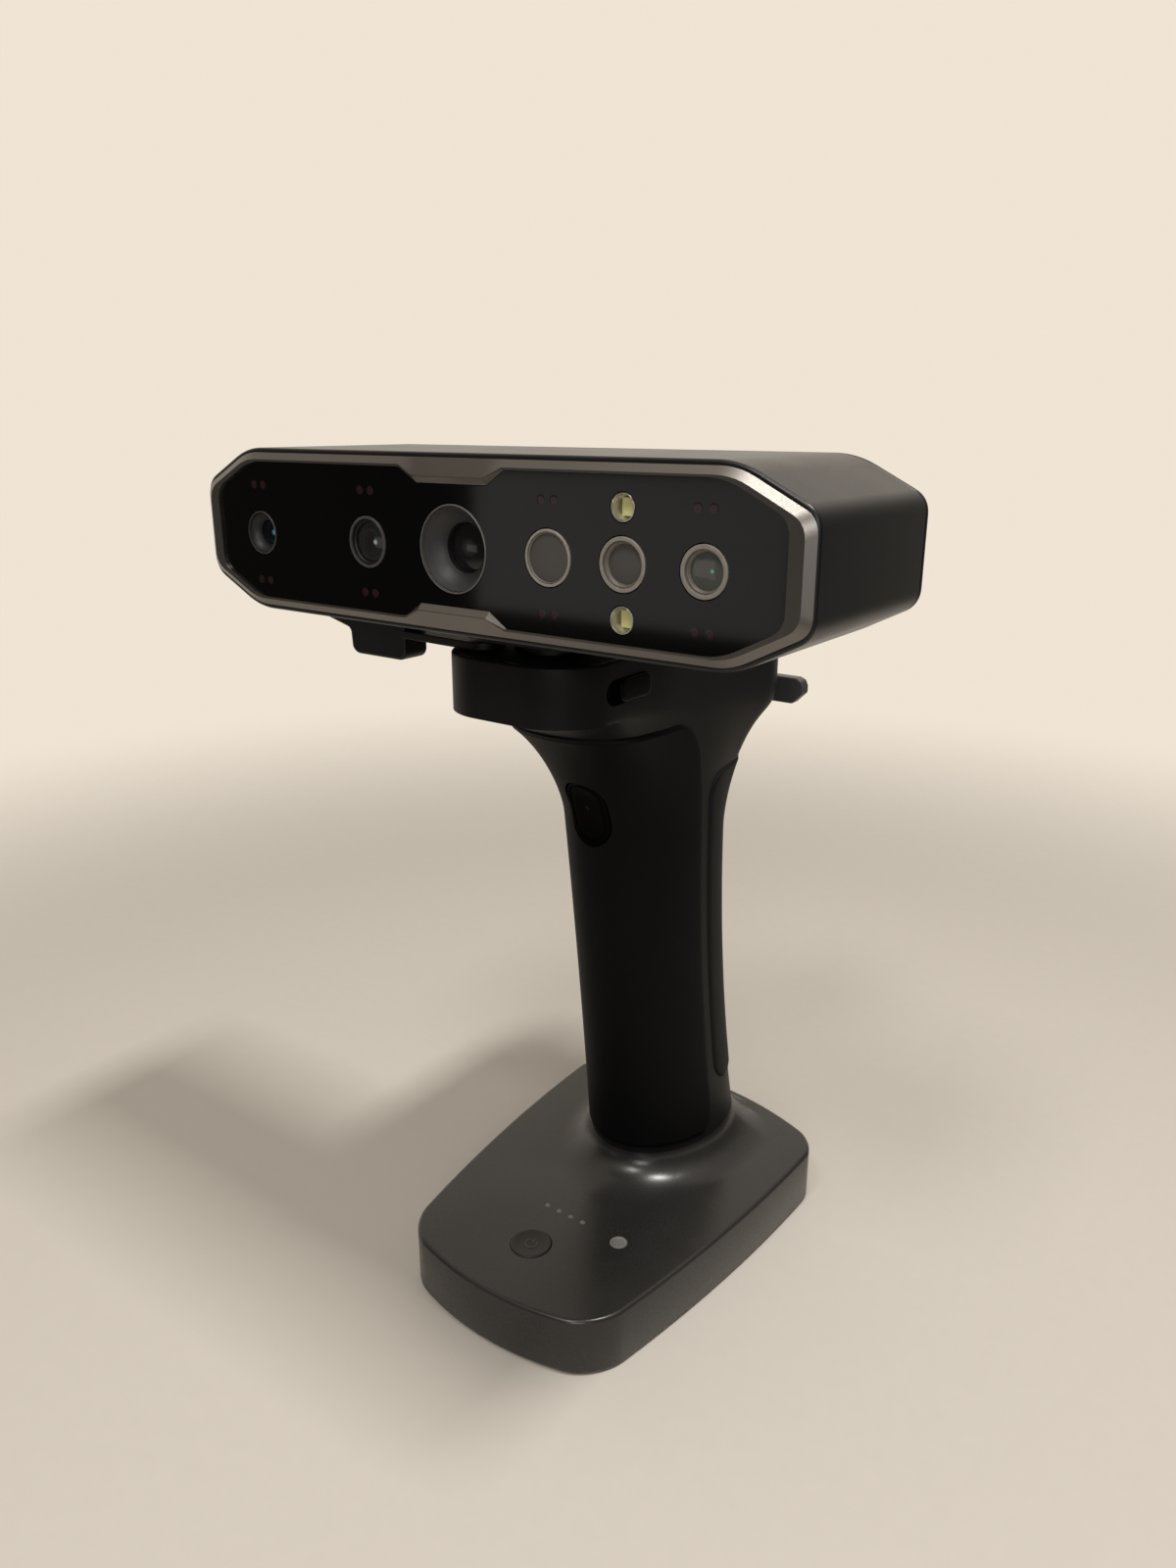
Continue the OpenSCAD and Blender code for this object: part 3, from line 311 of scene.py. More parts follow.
@dataclass(frozen=True)
class SatinMetal:
    """Blasted metal with a fine tooth and slow colour drift."""

    name: str
    colour: Colour
    roughness: float = 0.36
    tooth: float = 2200.0
    depth: float = 0.00004
    drift: float = 30.0
    deeper: float = 0.8

    def material(self) -> Material:
        """Builds the material.

        Returns:
            The material.
        """
        graph = Graph(self.name)
        tooth = graph.noise(self.tooth, 3.0)
        drift = graph.noise(self.drift, 3.0)
        return graph.finish(Base_Color=graph.blend(drift, scaled(self.colour, self.deeper), self.colour),
                            Roughness=self.roughness + tooth.swing(0.16),
                            Metallic=1.0, Normal=graph.bump(tooth, 0.2, self.depth))


@dataclass(frozen=True)
class TurnedMetal:
    """Metal turned on a lathe about a line along Y, with rings from the tool.

    Between the two radii of painted_shade_span, where they are given, painted shade darkens its colour
    towards the line, deep in the funnel.
    """

    name: str
    colour: Colour
    centre: Pair
    pitch: float = 0.00022
    roughness: float = 0.42
    metallic: float = 0.25
    # Radii between which painted shade darkens the colour.
    painted_shade_span: Pair | None = None
    depth: float = 0.00003
    wear: float = 700.0
    worn: float = 0.7
    # Share of the colour left where the painted shade is full.
    painted_shade_level: float = 0.12

    def material(self) -> Material:
        """Builds the material.

        Returns:
            The material.
        """
        graph = Graph(self.name)
        reach = Wire.hypot(*graph.plane(self.centre))
        rings = reach.math("SINE", reach * (2 * math.pi / self.pitch)) * 0.5 + 0.5
        wear = graph.noise(self.wear, 3.0)
        shade = graph.blend(wear, scaled(self.colour, self.worn), self.colour)
        # Painted shade: darker towards the axis, where the funnel is deep.
        if self.painted_shade_span:
            shade = graph.blend(graph.ease(reach, *self.painted_shade_span), scaled(self.colour, self.painted_shade_level), shade)
        return graph.finish(Base_Color=shade, Metallic=self.metallic,
                            Roughness=self.roughness + wear.swing(0.14),
                            Normal=graph.bump(rings, 0.25, self.depth))


@dataclass(frozen=True)
class DarkGlass:
    """Polished black glass with a trace of dust and smears in its gloss."""

    name: str
    colour: Colour
    roughness: float = 0.05
    gloss: float = 0.5
    smear: float = 24.0
    dust: float = 1500.0
    dusty: float = 0.012

    def material(self) -> Material:
        """Builds the material.

        Returns:
            The material.
        """
        graph = Graph(self.name)
        smear = graph.noise(self.smear, 4.0)
        dust = (graph.noise(self.dust, 2.0) - 0.7).clamp() * 3.0
        pale = tuple(c + self.dusty for c in self.colour)
        return graph.finish(Base_Color=graph.blend(dust, self.colour, pale),
                            Roughness=self.roughness + smear * 0.03 + dust * 0.2,
                            Specular_IOR_Level=self.gloss)


@dataclass(frozen=True)
class LensGlassWithPaintedGlint:
    """Dark lens glass with one small painted highlight in the colour its coated face reflects, and faint
    painted rings that stand for reflections of the elements inside.
    """

    name: str
    colour: Colour
    # Colour of the painted highlight and of the painted rings.
    painted_glint_tint: Colour
    centre: Pair
    radius: float
    # Place and radius of the painted highlight, in lens radii.
    spot: Pair
    painted_glint_r: float
    cloud: float = 900.0
    # Strength of the painted rings.
    rings: float = 0.1
    gloss: float = 0.5

    def material(self) -> Material:
        """Builds the material.

        Returns:
            The material.
        """
        graph = Graph(self.name)
        across, up = graph.plane(self.centre, self.radius)
        # Painted rings: reflections of the lens elements inside, painted into the colour.
        stops = [(0.0, 0.0), (0.5, 0.06), (0.62, 0.2), (0.7, 0.05), (0.86, 0.3), (1.0, 0.0)]
        rings = graph.node("ShaderNodeValToRGB", {"stops": stops}, {"Fac": across.hypot(up).clamp()})
        # Painted highlight: a soft round patch of the reflection colour at its place.
        far = (across - self.spot[0]).hypot(up - self.spot[1])
        painted_glint = (1.0 - far / self.painted_glint_r).clamp() ** 0.7
        cloud = graph.noise(self.cloud, 2.0)
        share = (rings * self.rings + painted_glint).clamp() * (0.85 + cloud * 0.3)
        return graph.finish(Base_Color=graph.blend(share, self.colour, self.painted_glint_tint),
                            Roughness=0.04 + cloud * 0.03, Specular_IOR_Level=self.gloss)


@dataclass(frozen=True)
class CircuitBoard:
    """Solder-masked board with copper tracks under the mask."""

    name: str
    over_copper: Colour = (0.02, 0.09, 0.045)
    mask: Colour = (0.012, 0.045, 0.022)

    def material(self) -> Material:
        """Builds the material.

        Returns:
            The material.
        """
        graph = Graph(self.name)
        tracks = (graph.cells(420.0) * 2.2).clamp()
        return graph.finish(Base_Color=graph.blend(tracks, self.over_copper, self.mask),
                            Roughness=0.32 + tracks * 0.1)


class Palette:
    """Every finish of the scanner, made once and shared."""

    def __init__(self) -> None:
        """Builds the materials by name."""
        finishes = [
            MouldedPlastic("sleeve_plastic", (0.0068, 0.0067, 0.0078), 0.32),
            MouldedPlastic("grip_plastic", (0.005, 0.0049, 0.0052), 0.48, sheen=0.13),
            MouldedPlastic("foot_plastic", (0.016, 0.0153, 0.0147), 0.27, depth=0.00003, sheen=0.4),
            MouldedPlastic("deck_plastic", (0.004, 0.004, 0.0043), 0.75, sheen=0.08),
            MouldedPlastic("slider_plastic", (0.0008, 0.0008, 0.001), 0.36, 4200.0, 0.00003, 0.07),
            MouldedPlastic("trigger_plastic", (0.0005, 0.0005, 0.0006), 0.5, 4200.0, 0.00003, 0.025),
            MouldedPlastic("power_plastic", (0.0085, 0.008, 0.0077), 0.48, 4200.0, 0.00003, 0.38),
            MouldedPlastic("lever_plastic", (0.005, 0.0049, 0.005), 0.4, sheen=0.3),
            # Painted light: the ledge's black plastic made grey so that its face looks lit.
            MouldedPlastic("ledge_plastic_painted_lit", (0.04, 0.039, 0.038), 0.36),
            MouldedPlastic("mark_paint", (0.045, 0.043, 0.04), 0.5, 5000.0, 0.00002),
            MouldedPlastic("light_pipe_plastic", (0.15, 0.146, 0.142), 0.35, 5000.0, 0.00002),
            MouldedPlastic("charge_pipe_plastic", (0.1, 0.097, 0.093), 0.35, 5000.0, 0.00002),
            MouldedPlastic("phosphor", (0.47, 0.44, 0.2), 0.5, 9000.0, 0.00002),
            MouldedPlastic("infrared_plastic", (0.017, 0.0075, 0.0078), 0.1, 6000.0, 0.000004, 0.45),
            MouldedPlastic("cell_wrap", (0.02, 0.11, 0.24), 0.35),
            SoftRubber("panel_rubber", (0.0012, 0.0012, 0.0014), gloss=0.09),
            SoftRubber("strip_rubber", (0.005, 0.0051, 0.0055), 0.6, gloss=0.09),
            SoftRubber("pad_rubber", (0.0035, 0.0035, 0.0036), 0.75, 1800.0),
            SatinMetal("bezel_metal", (0.2, 0.187, 0.172), 0.37),
            SatinMetal("bench_metal", (0.05, 0.05, 0.052), 0.4),
            SatinMetal("steel", (0.42, 0.42, 0.43), 0.28),
            SatinMetal("brass", (0.6, 0.42, 0.16), 0.3),
            SatinMetal("cup_silver", (0.72, 0.71, 0.7), 0.3, 5000.0),
            DarkGlass("window_glass", (0.0006, 0.0006, 0.0009)),
            # The panes' grey is partly the sensor behind the glass and partly a painted reflection.
            DarkGlass("pane_glass", (0.072, 0.067, 0.061), 0.3, 0.4),
            CircuitBoard("board"),
        ]
        self.made = {finish.name: finish.material() for finish in finishes}

    def __getitem__(self, name: str) -> Material:
        """The material of that name."""
        return self.made[name]

    def add(self, finish: TurnedMetal | LensGlassWithPaintedGlint) -> Material:
        """Builds one more finish, made for a single piece, and gives its material."""
        self.made[finish.name] = finish.material()
        return self.made[finish.name]


# Modelling tools


class Workshop:
    """Primitives, edit-mode operators and modifiers, driven from code."""

    @staticmethod
    def clear() -> None:
        """Leaves edit mode and deselects everything."""
        if bpy.context.object and bpy.context.object.mode != "OBJECT":
            bpy.ops.object.mode_set(mode="OBJECT")
        bpy.ops.object.select_all(action="DESELECT")

    @staticmethod
    def take(piece: Piece) -> None:
        """Makes a piece the only selected and active one.

        Args:
            piece: The piece.
        """
        Workshop.clear()
        piece.select_set(True)
        bpy.context.view_layer.objects.active = piece

    @staticmethod
    def label(piece: Piece, name: str) -> Piece:
        """Names a piece and its mesh, and hands it back.

        Args:
            piece: The piece.
            name: The name it gets.

        Returns:
            The same piece.
        """
        piece.name = name
        piece.data.name = name
        return piece

    @staticmethod
    def open(piece: Piece) -> None:
        """Takes a piece into edit mode with everything selected.

        Args:
            piece: The piece.
        """
        Workshop.take(piece)
        bpy.ops.object.mode_set(mode="EDIT")
        bpy.ops.mesh.select_all(action="SELECT")

    @staticmethod
    def close() -> None:
        """Turns the faces outwards and leaves edit mode."""
        bpy.ops.mesh.select_all(action="SELECT")
        bpy.ops.mesh.normals_make_consistent(inside=False)
        bpy.ops.object.mode_set(mode="OBJECT")

    @staticmethod
    def tidy(piece: Piece) -> Piece:
        """Merges doubles, turns the faces outwards and hands the piece back.

        Args:
            piece: The piece.

        Returns:
            The same piece.
        """
        Workshop.open(piece)
        bpy.ops.mesh.remove_doubles(threshold=MERGE)
        Workshop.close()
        return piece

    @staticmethod
    def cap(piece: Piece) -> Piece:
        """Closes every open edge loop of a piece with a face and hands it back.

        Args:
            piece: The piece.

        Returns:
            The same piece.
        """
        Workshop.open(piece)
        bpy.ops.mesh.select_all(action="DESELECT")
        bpy.ops.mesh.select_non_manifold()
        bpy.ops.mesh.fill_holes(sides=0)
        Workshop.close()
        return piece

    @staticmethod
    def sheet(name: str, columns: int, rows: int, place: Place) -> Piece:
        """Adds a grid and lays its points on a surface; edges that meet are merged.

        Args:
            name: The piece's name.
            columns: Faces across.
            rows: Faces along.
            place: Gives the point, in millimetres, of u and v from 0 to 1.

        Returns:
            The piece.
        """
        Workshop.clear()
        bpy.ops.mesh.primitive_grid_add(x_subdivisions=columns, y_subdivisions=rows, size=2.0)
        piece = Workshop.label(bpy.context.object, name)
        for point in piece.data.vertices:
            u = round((point.co.x + 1.0) / 2.0 * columns) / columns
            v = round((point.co.y + 1.0) / 2.0 * rows) / rows
            point.co = place(u, v) * MM
        return Workshop.tidy(piece)

    @staticmethod
    def rings(name: str, loops: Sequence[Sequence[Vector]], closed: bool = False) -> Piece:
        """Skins loops of equal length, as a tube.

        Args:
            name: The piece's name.
            loops: Loops of points, in millimetres.
            closed: Whether the last loop joins the first; otherwise both ends are capped.

        Returns:
            The piece.
        """
        across = len(loops[0])
        count = len(loops) if closed else len(loops) - 1

        def place(u: float, v: float) -> Vector:
            """Point of a loop."""
            return loops[round(v * count) % len(loops)][round(u * across) % across]

        piece = Workshop.sheet(name, across, count, place)
        return piece if closed else Workshop.cap(piece)

    @staticmethod
    def lathe(name: str, profile: Sequence[Pair], centre: Vector, axis: Vector, steps: int = 96) -> Piece:
        """Turns a profile about an axis.

        Args:
            name: The piece's name.
            profile: Radius and distance along the axis, in millimetres.
            centre: Point of the axis, in millimetres.
            axis: Direction of the axis.
            steps: Faces round.

        Returns:
            The piece.
        """
        turn = UP.rotation_difference(axis).to_matrix()
        last = len(profile) - 1

        def place(u: float, v: float) -> Vector:
            """Point of the turned profile.

            Args:
                u: Share of the way across.
                v: Share of the way along.

            Returns:
                The point.
            """
            radius, along = profile[round(v * last)]
            angle = 2 * math.pi * u
            return centre + turn @ Vector((radius * math.cos(angle), radius * math.sin(angle), along))

        return Workshop.cap(Workshop.sheet(name, steps, last, place))

    @staticmethod
    def prism(name: str, outline: Sequence[Pair], lay: Matrix, depth: float) -> Piece:
        """Extrudes a flat outline.

        Args:
            name: The piece's name.
            outline: Points of the outline, in millimetres.
            lay: Takes the outline's plane into place, in millimetres.
            depth: Extrusion along the plane's normal, in millimetres.

        Returns:
            The piece.
        """
        Workshop.clear()
        bpy.ops.mesh.primitive_circle_add(vertices=len(outline), fill_type="NGON")
        piece = Workshop.label(bpy.context.object, name)
        for point, (x, y) in zip(piece.data.vertices, outline):
            point.co = lay @ Vector((x, y, 0)) * MM
        step = lay.to_3x3() @ Vector((0, 0, depth)) * MM
        Workshop.open(piece)
        bpy.ops.mesh.extrude_region_move(TRANSFORM_OT_translate={"value": step})
        bpy.ops.object.mode_set(mode="OBJECT")
        return Workshop.tidy(piece)

    @staticmethod
    def modify(piece: Piece, kind: str, **settings: object) -> None:
        """Adds a modifier, sets it and applies it.

        Args:
            piece: The piece.
            kind: The modifier's type.
            settings: Its properties.
        """
        Workshop.take(piece)
        made = piece.modifiers.new(kind.lower(), kind)
        for key, value in settings.items():
            setattr(made, key, value)
        bpy.ops.object.modifier_apply(modifier=made.name)

    @staticmethod
    def bevel(piece: Piece, width: float, segments: int = 3, angle: float = 25.0) -> None:
        """Rounds every edge that turns more than an angle in degrees, to a width in millimetres."""
        Workshop.modify(piece, "BEVEL", width=width * MM, segments=segments, limit_method="ANGLE",
                        angle_limit=math.radians(angle), use_clamp_overlap=True, harden_normals=False)

    @staticmethod
    def merge(piece: Piece, operation: str, *tools: Piece) -> None:
        """Adds other pieces to a piece, or takes them away from it, and removes them.

        Args:
            piece: The piece.
            operation: The Boolean modifier's operation.
            tools: The other pieces.
        """
        for tool in tools:
            Workshop.modify(piece, "BOOLEAN", operation=operation, solver="EXACT", object=tool)
            bpy.data.objects.remove(tool, do_unlink=True)

    @staticmethod
    def join(name: str, pieces: Sequence[Piece]) -> Piece:
        """Joins pieces into the first one.

        Args:
            name: The name of the result.
            pieces: The pieces.

        Returns:
            The joined piece.
        """
        Workshop.clear()
        for piece in pieces:
            piece.select_set(True)
        bpy.context.view_layer.objects.active = pieces[0]
        bpy.ops.object.join()
        return Workshop.label(pieces[0], name)

    @staticmethod
    def smooth(piece: Piece, angle: float, flat: bool) -> None:
        """Shades a piece smooth up to an angle.

        Args:
            piece: The piece.
            angle: The angle, in degrees.
            flat: Whether large faces keep flat normals.
        """
        Workshop.take(piece)
        bpy.ops.object.shade_smooth_by_angle(angle=math.radians(angle))
        if flat:
            Workshop.modify(piece, "WEIGHTED_NORMAL", keep_sharp=True, weight=80)


class Body(Enum):
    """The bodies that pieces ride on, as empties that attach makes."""

    FRAME = "frame"
    LEVER = "lever"
    TRIGGER = "trigger"
    POWER = "power"
    SLIDER = "slider"
    LEDGE = "ledge"


def fit(piece: Piece, body: Body, material: Material, slot: str, *nodes: str,
        angle: float = SHARP, flat: bool = True) -> None:
    """Shades and dresses a piece and hangs it on its body.

    Args:
        piece: The piece.
        body: What it moves with.
        material: Its finish.
        slot: A material slot's name; not used.
        nodes: Solids that it stands for.
        angle: Edges that turn more than this stay sharp, in degrees.
        flat: Whether large faces keep flat normals.
    """
    Workshop.smooth(piece, angle, flat)
    piece.data.materials.clear()
    piece.data.materials.append(material)
    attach(piece, body.value)
    if nodes:
        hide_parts(*nodes)
    LOG.info("%s rides on %s, %d faces", piece.name, body.value, len(piece.data.polygons))


# Places and shared outlines


def shift(x: float, y: float, z: float) -> Matrix:
    """Move by so many millimetres."""
    return Matrix.Translation((x, y, z))


def turned(degrees: float, axis: str = "X") -> Matrix:
    """Turn about an axis through the origin."""
    return Matrix.Rotation(math.radians(degrees), 4, axis)


def quarter(step: int, count: int) -> float:
    """Angle after some of the equal steps of a quarter turn."""
    return math.radians(90 * step / count)


def mix(first: float, second: float, share: float) -> float:
    """Value between two others."""
    return first + (second - first) * share


def clamp01(value: float) -> float:
    """Value held between 0 and 1."""
    return min(1.0, max(0.0, value))


def arc(centre: Pair, radius: float, start: float, end: float, steps: int) -> list[Pair]:
    """Points of an arc from one angle to another in degrees, both ends included."""
    angles = [math.radians(mix(start, end, k / steps)) for k in range(steps + 1)]
    return [(centre[0] + radius * math.cos(a), centre[1] + radius * math.sin(a)) for a in angles]


def stadium(length: float, height: float, steps: int = 24) -> list[Pair]:
    """Outline with two half-round ends, the long way along the first axis."""
    straight = (length - height) / 2
    return arc((straight, 0), height / 2, -90, 90, steps) + arc((-straight, 0), height / 2, 90, 270, steps)


def rounded(corners: Sequence[Pair], lengths: Sequence[float], steps: int = 4) -> list[Pair]:
    """Rounds the corners of an outline.

    Args:
        corners: The corners in order.
        lengths: Length taken from both sides of a corner, used in turn.
        steps: Chords for one corner.

    Returns:
        The rounded outline, with the same number of points for every corner.
    """
    made = []
    for k, corner in enumerate(corners):
        here, length = Vector(corner), lengths[k % len(lengths)]
        before = (Vector(corners[k - 1]) - here).normalized() * length
        after = (Vector(corners[(k + 1) % len(corners)]) - here).normalized() * length
        for step in range(steps + 1):
            t = step / steps
            point = here + before * (1 - t) ** 2 + after * t ** 2
            made.append((point.x, point.y))
    return made


def slab(half_w: float, half_h: float, corner: float) -> list[Pair]:
    """Rectangle about the origin with rounded corners."""
    return rounded([(half_w, half_h), (-half_w, half_h), (-half_w, -half_h), (half_w, -half_h)], (corner,))
def between(first: Pair, last: Pair, count: int) -> list[Pair]:
    """So many points on a line, without its ends."""
    shares = [k / (count + 1) for k in range(1, count + 1)]
    return [(mix(first[0], last[0], s), mix(first[1], last[1], s)) for s in shares]


def trapezoid(half_front: float, half_back: float, front: float, back: float, r_front: float,
              r_back: float, corner: int = 20, side: int = 44, edge: int = 10) -> list[Pair]:
    """Rounded trapezoid seen from above, counter-clockwise from the middle of its back.

    Args:
        half_front: Half the width at the front.
        half_back: Half the width at the back.
        front: Place of the front along Y.
        back: Place of the back along Y.
        r_front: Radius of the front corners.
        r_back: Radius of the back corners.
        corner: Chords of a corner.
        side: Points between the corners of a flank.
        edge: Points from a corner to the middle of the front or back.

    Returns:
        The outline.
    """
    c_front = Vector((half_front - r_front, front + r_front))
    c_back = Vector((half_back - r_back, back - r_back))
    across = c_back - c_front
    lean = math.degrees(math.atan2(across.y, across.x) - math.acos((r_front - r_back) / across.length))
    front_arc = arc(tuple(c_front), r_front, -90, lean, corner)
    back_arc = arc(tuple(c_back), r_back, lean, 90, corner)
    right = between((0.0, front), front_arc[0], edge) + front_arc + between(front_arc[-1], back_arc[0], side)
    right += back_arc + between(back_arc[-1], (0.0, back), edge)
    left = [(-x, y) for x, y in reversed(right)]
    return [(0.0, back)] + left + [(0.0, front)] + right


# Scanning head


@dataclass
class LensPlan:
    """One opening of the lens row; without a colour for its painted highlight, its glass is a plain pane."""

    name: str
    x: float
    diameter: float
    ring_w: float
    ring_colour: Colour
    cone: Colour
    lens_r: float
    depth: float
    steps: int
    crown: float
    glass: Colour = (0.0, 0.0, 0.0)
    # Colour, place and radius of a painted highlight in the lens glass.
    painted_glint_tint: Colour | None = None
    spot: Pair = (0.0, 0.0)
    painted_glint_r: float = 0.0

    @property
    def inner(self) -> float:
        """Inner radius of the ring."""
        return self.diameter / 2 - self.ring_w


@dataclass
class Head:
    """The wide head: sleeve, cover, bezel, window and the row of lenses."""

    width: float = 203.0
    height: float = 46.7
    depth: float = 62.0
    cut_x: float = 19.7
    cut_z: float = 10.1
    front: float = -74.0
    mid_z: float = 255.0
    cover_t: float = 2.5
    sleeve_round: Pair = (6.0, 4.2)
    edge: Insets = (0.5, 1.3, 1.2)
    ridge_in: Insets = (2.8, 3.2, 3.2)
    glass_in: Insets = (6.4, 3.8, 4.47)
    bezel_round: Pair = (4.5, 3.6)
    ridge: float = 1.5
    window_drop: float = 0.8
    tab_x: float = -0.8
    tab_half: float = 12.0
    tab_slope: float = 5.7
    tab_crest: float = 5.9
    tab_foot: float = 7.7
    tab_rise: float = 0.8
    optics_z: float = -0.8
    ring_depth: float = 6.0
    cone_depth: float = 6.5
    bowl_steps: int = 20
    dome_steps: int = 14
    glass_gap: float = 0.02
    cup_r: float = 3.3
    cup_rise: float = 13.0
    cup_steps: int = 8
    chip: Pair = (1.8, 2.1)
    chip_drop: float = 2.4
    infrared_r: float = 1.2
    infrared_pitch: float = 4.0
    infrared_rise: float = 13.8
    link_at: Pair = (62.0, -9.0)
    lenses: list[LensPlan] = field(default_factory=lambda: [
        # Where given, after the glass colour come the colour, place and radius of that lens's painted
        # highlight.
        LensPlan("far_left", -76.8, 12.5, 0.4, (0.05, 0.05, 0.052), (0.024, 0.024, 0.026), 3.5, 2.6, 0, 0.5,
                 (0.0012, 0.002, 0.0026), (0.08, 0.3, 0.38), (0.5, 0.0), 0.28),
        LensPlan("near_left", -32.3, 14.0, 0.8, (0.075, 0.07, 0.074), (0.003, 0.003, 0.0034), 5.4, 1.0, 1,
                 0.5, (0.012, 0.0105, 0.0115), (0.4, 0.5, 0.56), (0.34, 0.0), 0.15),
        LensPlan("projector", -0.8, 23.0, 0.45, (0.15, 0.14, 0.132), (0.072, 0.069, 0.072), 6.6, 5.2, 0, 1.2,
                 (0.007, 0.0065, 0.007), (0.03, 0.03, 0.033), (0.1, 0.0), 0.4),
        LensPlan("laser", 30.4, 14.0, 0.7, (0.38, 0.35, 0.31), (0.22, 0.2, 0.178), 5.9, 0.35, 1, 0.15),
        LensPlan("colour", 52.4, 13.0, 1.0, (0.33, 0.305, 0.275), (0.2, 0.182, 0.16), 4.7, 1.2, 3, 0.2),
        LensPlan("right", 74.4, 12.3, 1.15, (0.32, 0.295, 0.265), (0.2, 0.182, 0.16), 4.3, 1.2, 3, 0.2,
                 (0.075, 0.07, 0.064), (0.1, 0.55, 0.42), (0.3, 0.02), 0.12),
    ])

    def octagon(self, insets: Insets) -> list[Pair]:
        """Corners of the head's outline, moved inwards.

        Args:
            insets: How far at the ends, at the top and bottom, and at the slanted corners.

        Returns:
            The corners from the top right, clockwise.
        """
        w, h = self.width / 2, self.height / 2
        side, flat, slant = insets
        lean = math.hypot(self.cut_x, self.cut_z)
        reach = (w * self.cut_z + (h - self.cut_z) * self.cut_x) / lean - slant
        x = (reach * lean - (h - flat) * self.cut_x) / self.cut_z
        z = (reach * lean - (w - side) * self.cut_z) / self.cut_x
        return [(x, h - flat), (w - side, z), (w - side, -z), (x, flat - h),
                (-x, flat - h), (side - w, -z), (side - w, z), (-x, h - flat)]

    def at(self, x: float, y: float, z: float) -> Vector:
        """Point given from the middle of the head's front rim."""
        return Vector((x, self.front + y, self.mid_z + z))

    def loop(self, y: float, inset: float) -> list[Vector]:
        """Rounded outline of the head at a depth.

        Args:
            y: Depth of the loop.
            inset: How far inside the outline.

        Returns:
            The loop's points.
        """
        long, short = self.sleeve_round
        outline = rounded(self.octagon((inset,) * 3), (long, short, short, long), 8)
        return [self.at(x, y, z) for x, z in outline]

    @property
    def glass_y(self) -> float:
        """Depth of the window's face."""
        return self.window_drop - self.ridge

    def build(self, palette: Palette) -> None:
        """Models and dresses every piece of the head.

        Args:
            palette: The finishes.
        """
        self.sleeve(palette)
        self.cover(palette)
        self.bezel(palette)
        for lens in self.lenses:
            self.lens(lens, palette)
        self.cups(palette)
        self.infrared(palette)

    def sleeve(self, palette: Palette) -> None:
        """Tube round the head, with a rolled rim at the front.

        Args:
            palette: The finishes.
        """
        seam = self.depth - self.cover_t
        profile = [(8.0, 1.6), (0.5, 1.6), (0.15, 1.5), (0.02, 1.3), (0.0, 1.05), (0.0, 0.8), (0.08, 0.45),
                   (0.3, 0.16), (0.65, 0.02), (1.1, 0.0), (seam - 0.6, 0.0), (seam - 0.25, 0.05),
                   (seam - 0.08, 0.2), (seam, 0.45), (seam, 1.6)]
        piece = Workshop.rings("head_sleeve", [self.loop(y, inset) for y, inset in profile], True)
        fit(piece, Body.FRAME, palette["sleeve_plastic"], "black_shell", "head_shell")

    def cover(self, palette: Palette) -> None:
        """Rear cover with a rolled edge and a socket's mouth.

        Args:
            palette: The finishes.
        """
        seam, back = self.depth - self.cover_t, self.depth
        profile = [(seam, 3.0), (seam, 0.5), (seam + 0.06, 0.25), (seam + 0.25, 0.06), (seam + 0.5, 0.0),
                   (back - 1.2, 0.0), (back - 0.75, 0.1), (back - 0.35, 0.35), (back - 0.1, 0.75),
                   (back, 1.2), (back, 6.0)]
        piece = Workshop.rings("head_cover", [self.loop(y, inset) for y, inset in profile])
        x, z = self.link_at
        lay = shift(*self.at(x, back + 1.0, z)) @ turned(90)
        mouth = Workshop.prism("mouth", slab(*SOCKET_MOUTH, 1.2), lay, self.cover_t + 2.0)
        Workshop.merge(piece, "DIFFERENCE", mouth)
        fit(piece, Body.FRAME, palette["sleeve_plastic"], "black_shell", "rear_cover")

    def bezel_loop(self, insets: Insets, y: float, tab: float | None = None,
                   rise: float = 0.0) -> list[Vector]:
        """One loop of the bezel, with the tab's corners among its points.

        Args:
            insets: How far the loop is inside the head's outline, as for the octagon.
            y: Depth of the loop.
            tab: How far the tab's inner edge is inside the outline; no tab without it.
            rise: How far the tab stands before the loop.

        Returns:
            The loop.
        """
        long, short = self.bezel_round
        flat = [(x, z, 0.0) for x, z in rounded(self.octagon(insets), (long, short, short, long), 5)]
        edge = self.height / 2 - insets[1]
        crest = edge if tab is None else self.height / 2 - tab
        ends = [(self.tab_half + self.tab_slope, edge, 0.0), (self.tab_half, crest, rise)]
        lower = [(self.tab_x + x, -z, out) for x, z, out in ends]
        lower += [(self.tab_x - x, -z, out) for x, z, out in reversed(ends)]
        upper = [(x, -z, out) for x, z, out in reversed(lower)]
        half = len(flat) // 2
        return [self.at(x, y - out, z) for x, z, out in flat[:half] + lower + flat[half:] + upper]

    def bezel(self, palette: Palette) -> None:
        """Gunmetal frame of the window: chamfer, ridge, flat band and two tabs.

        Args:
            palette: The finishes.
        """
        seat, back = (1.85,) * 3, (4.5,) * 3
        loops = [
            self.bezel_loop(back, 6.0),
            self.bezel_loop(seat, 6.0),
            self.bezel_loop(seat, -0.04),
            self.bezel_loop(self.edge, -0.04),
            self.bezel_loop(self.edge, -0.12),
            self.bezel_loop(self.ridge_in, -self.ridge, self.tab_crest, self.tab_rise),
            self.bezel_loop(self.glass_in, -self.ridge, self.tab_crest + 0.2, self.tab_rise),
            self.bezel_loop(self.glass_in, self.glass_y, self.tab_foot),
            self.bezel_loop(self.glass_in, self.glass_y + 2.0, self.tab_foot),
        ]
        piece = Workshop.rings("window_bezel", loops, True)
        Workshop.bevel(piece, 0.22, 3, 24.0)
        fit(piece, Body.FRAME, palette["bezel_metal"], "bezel_metal", "front_bezel")

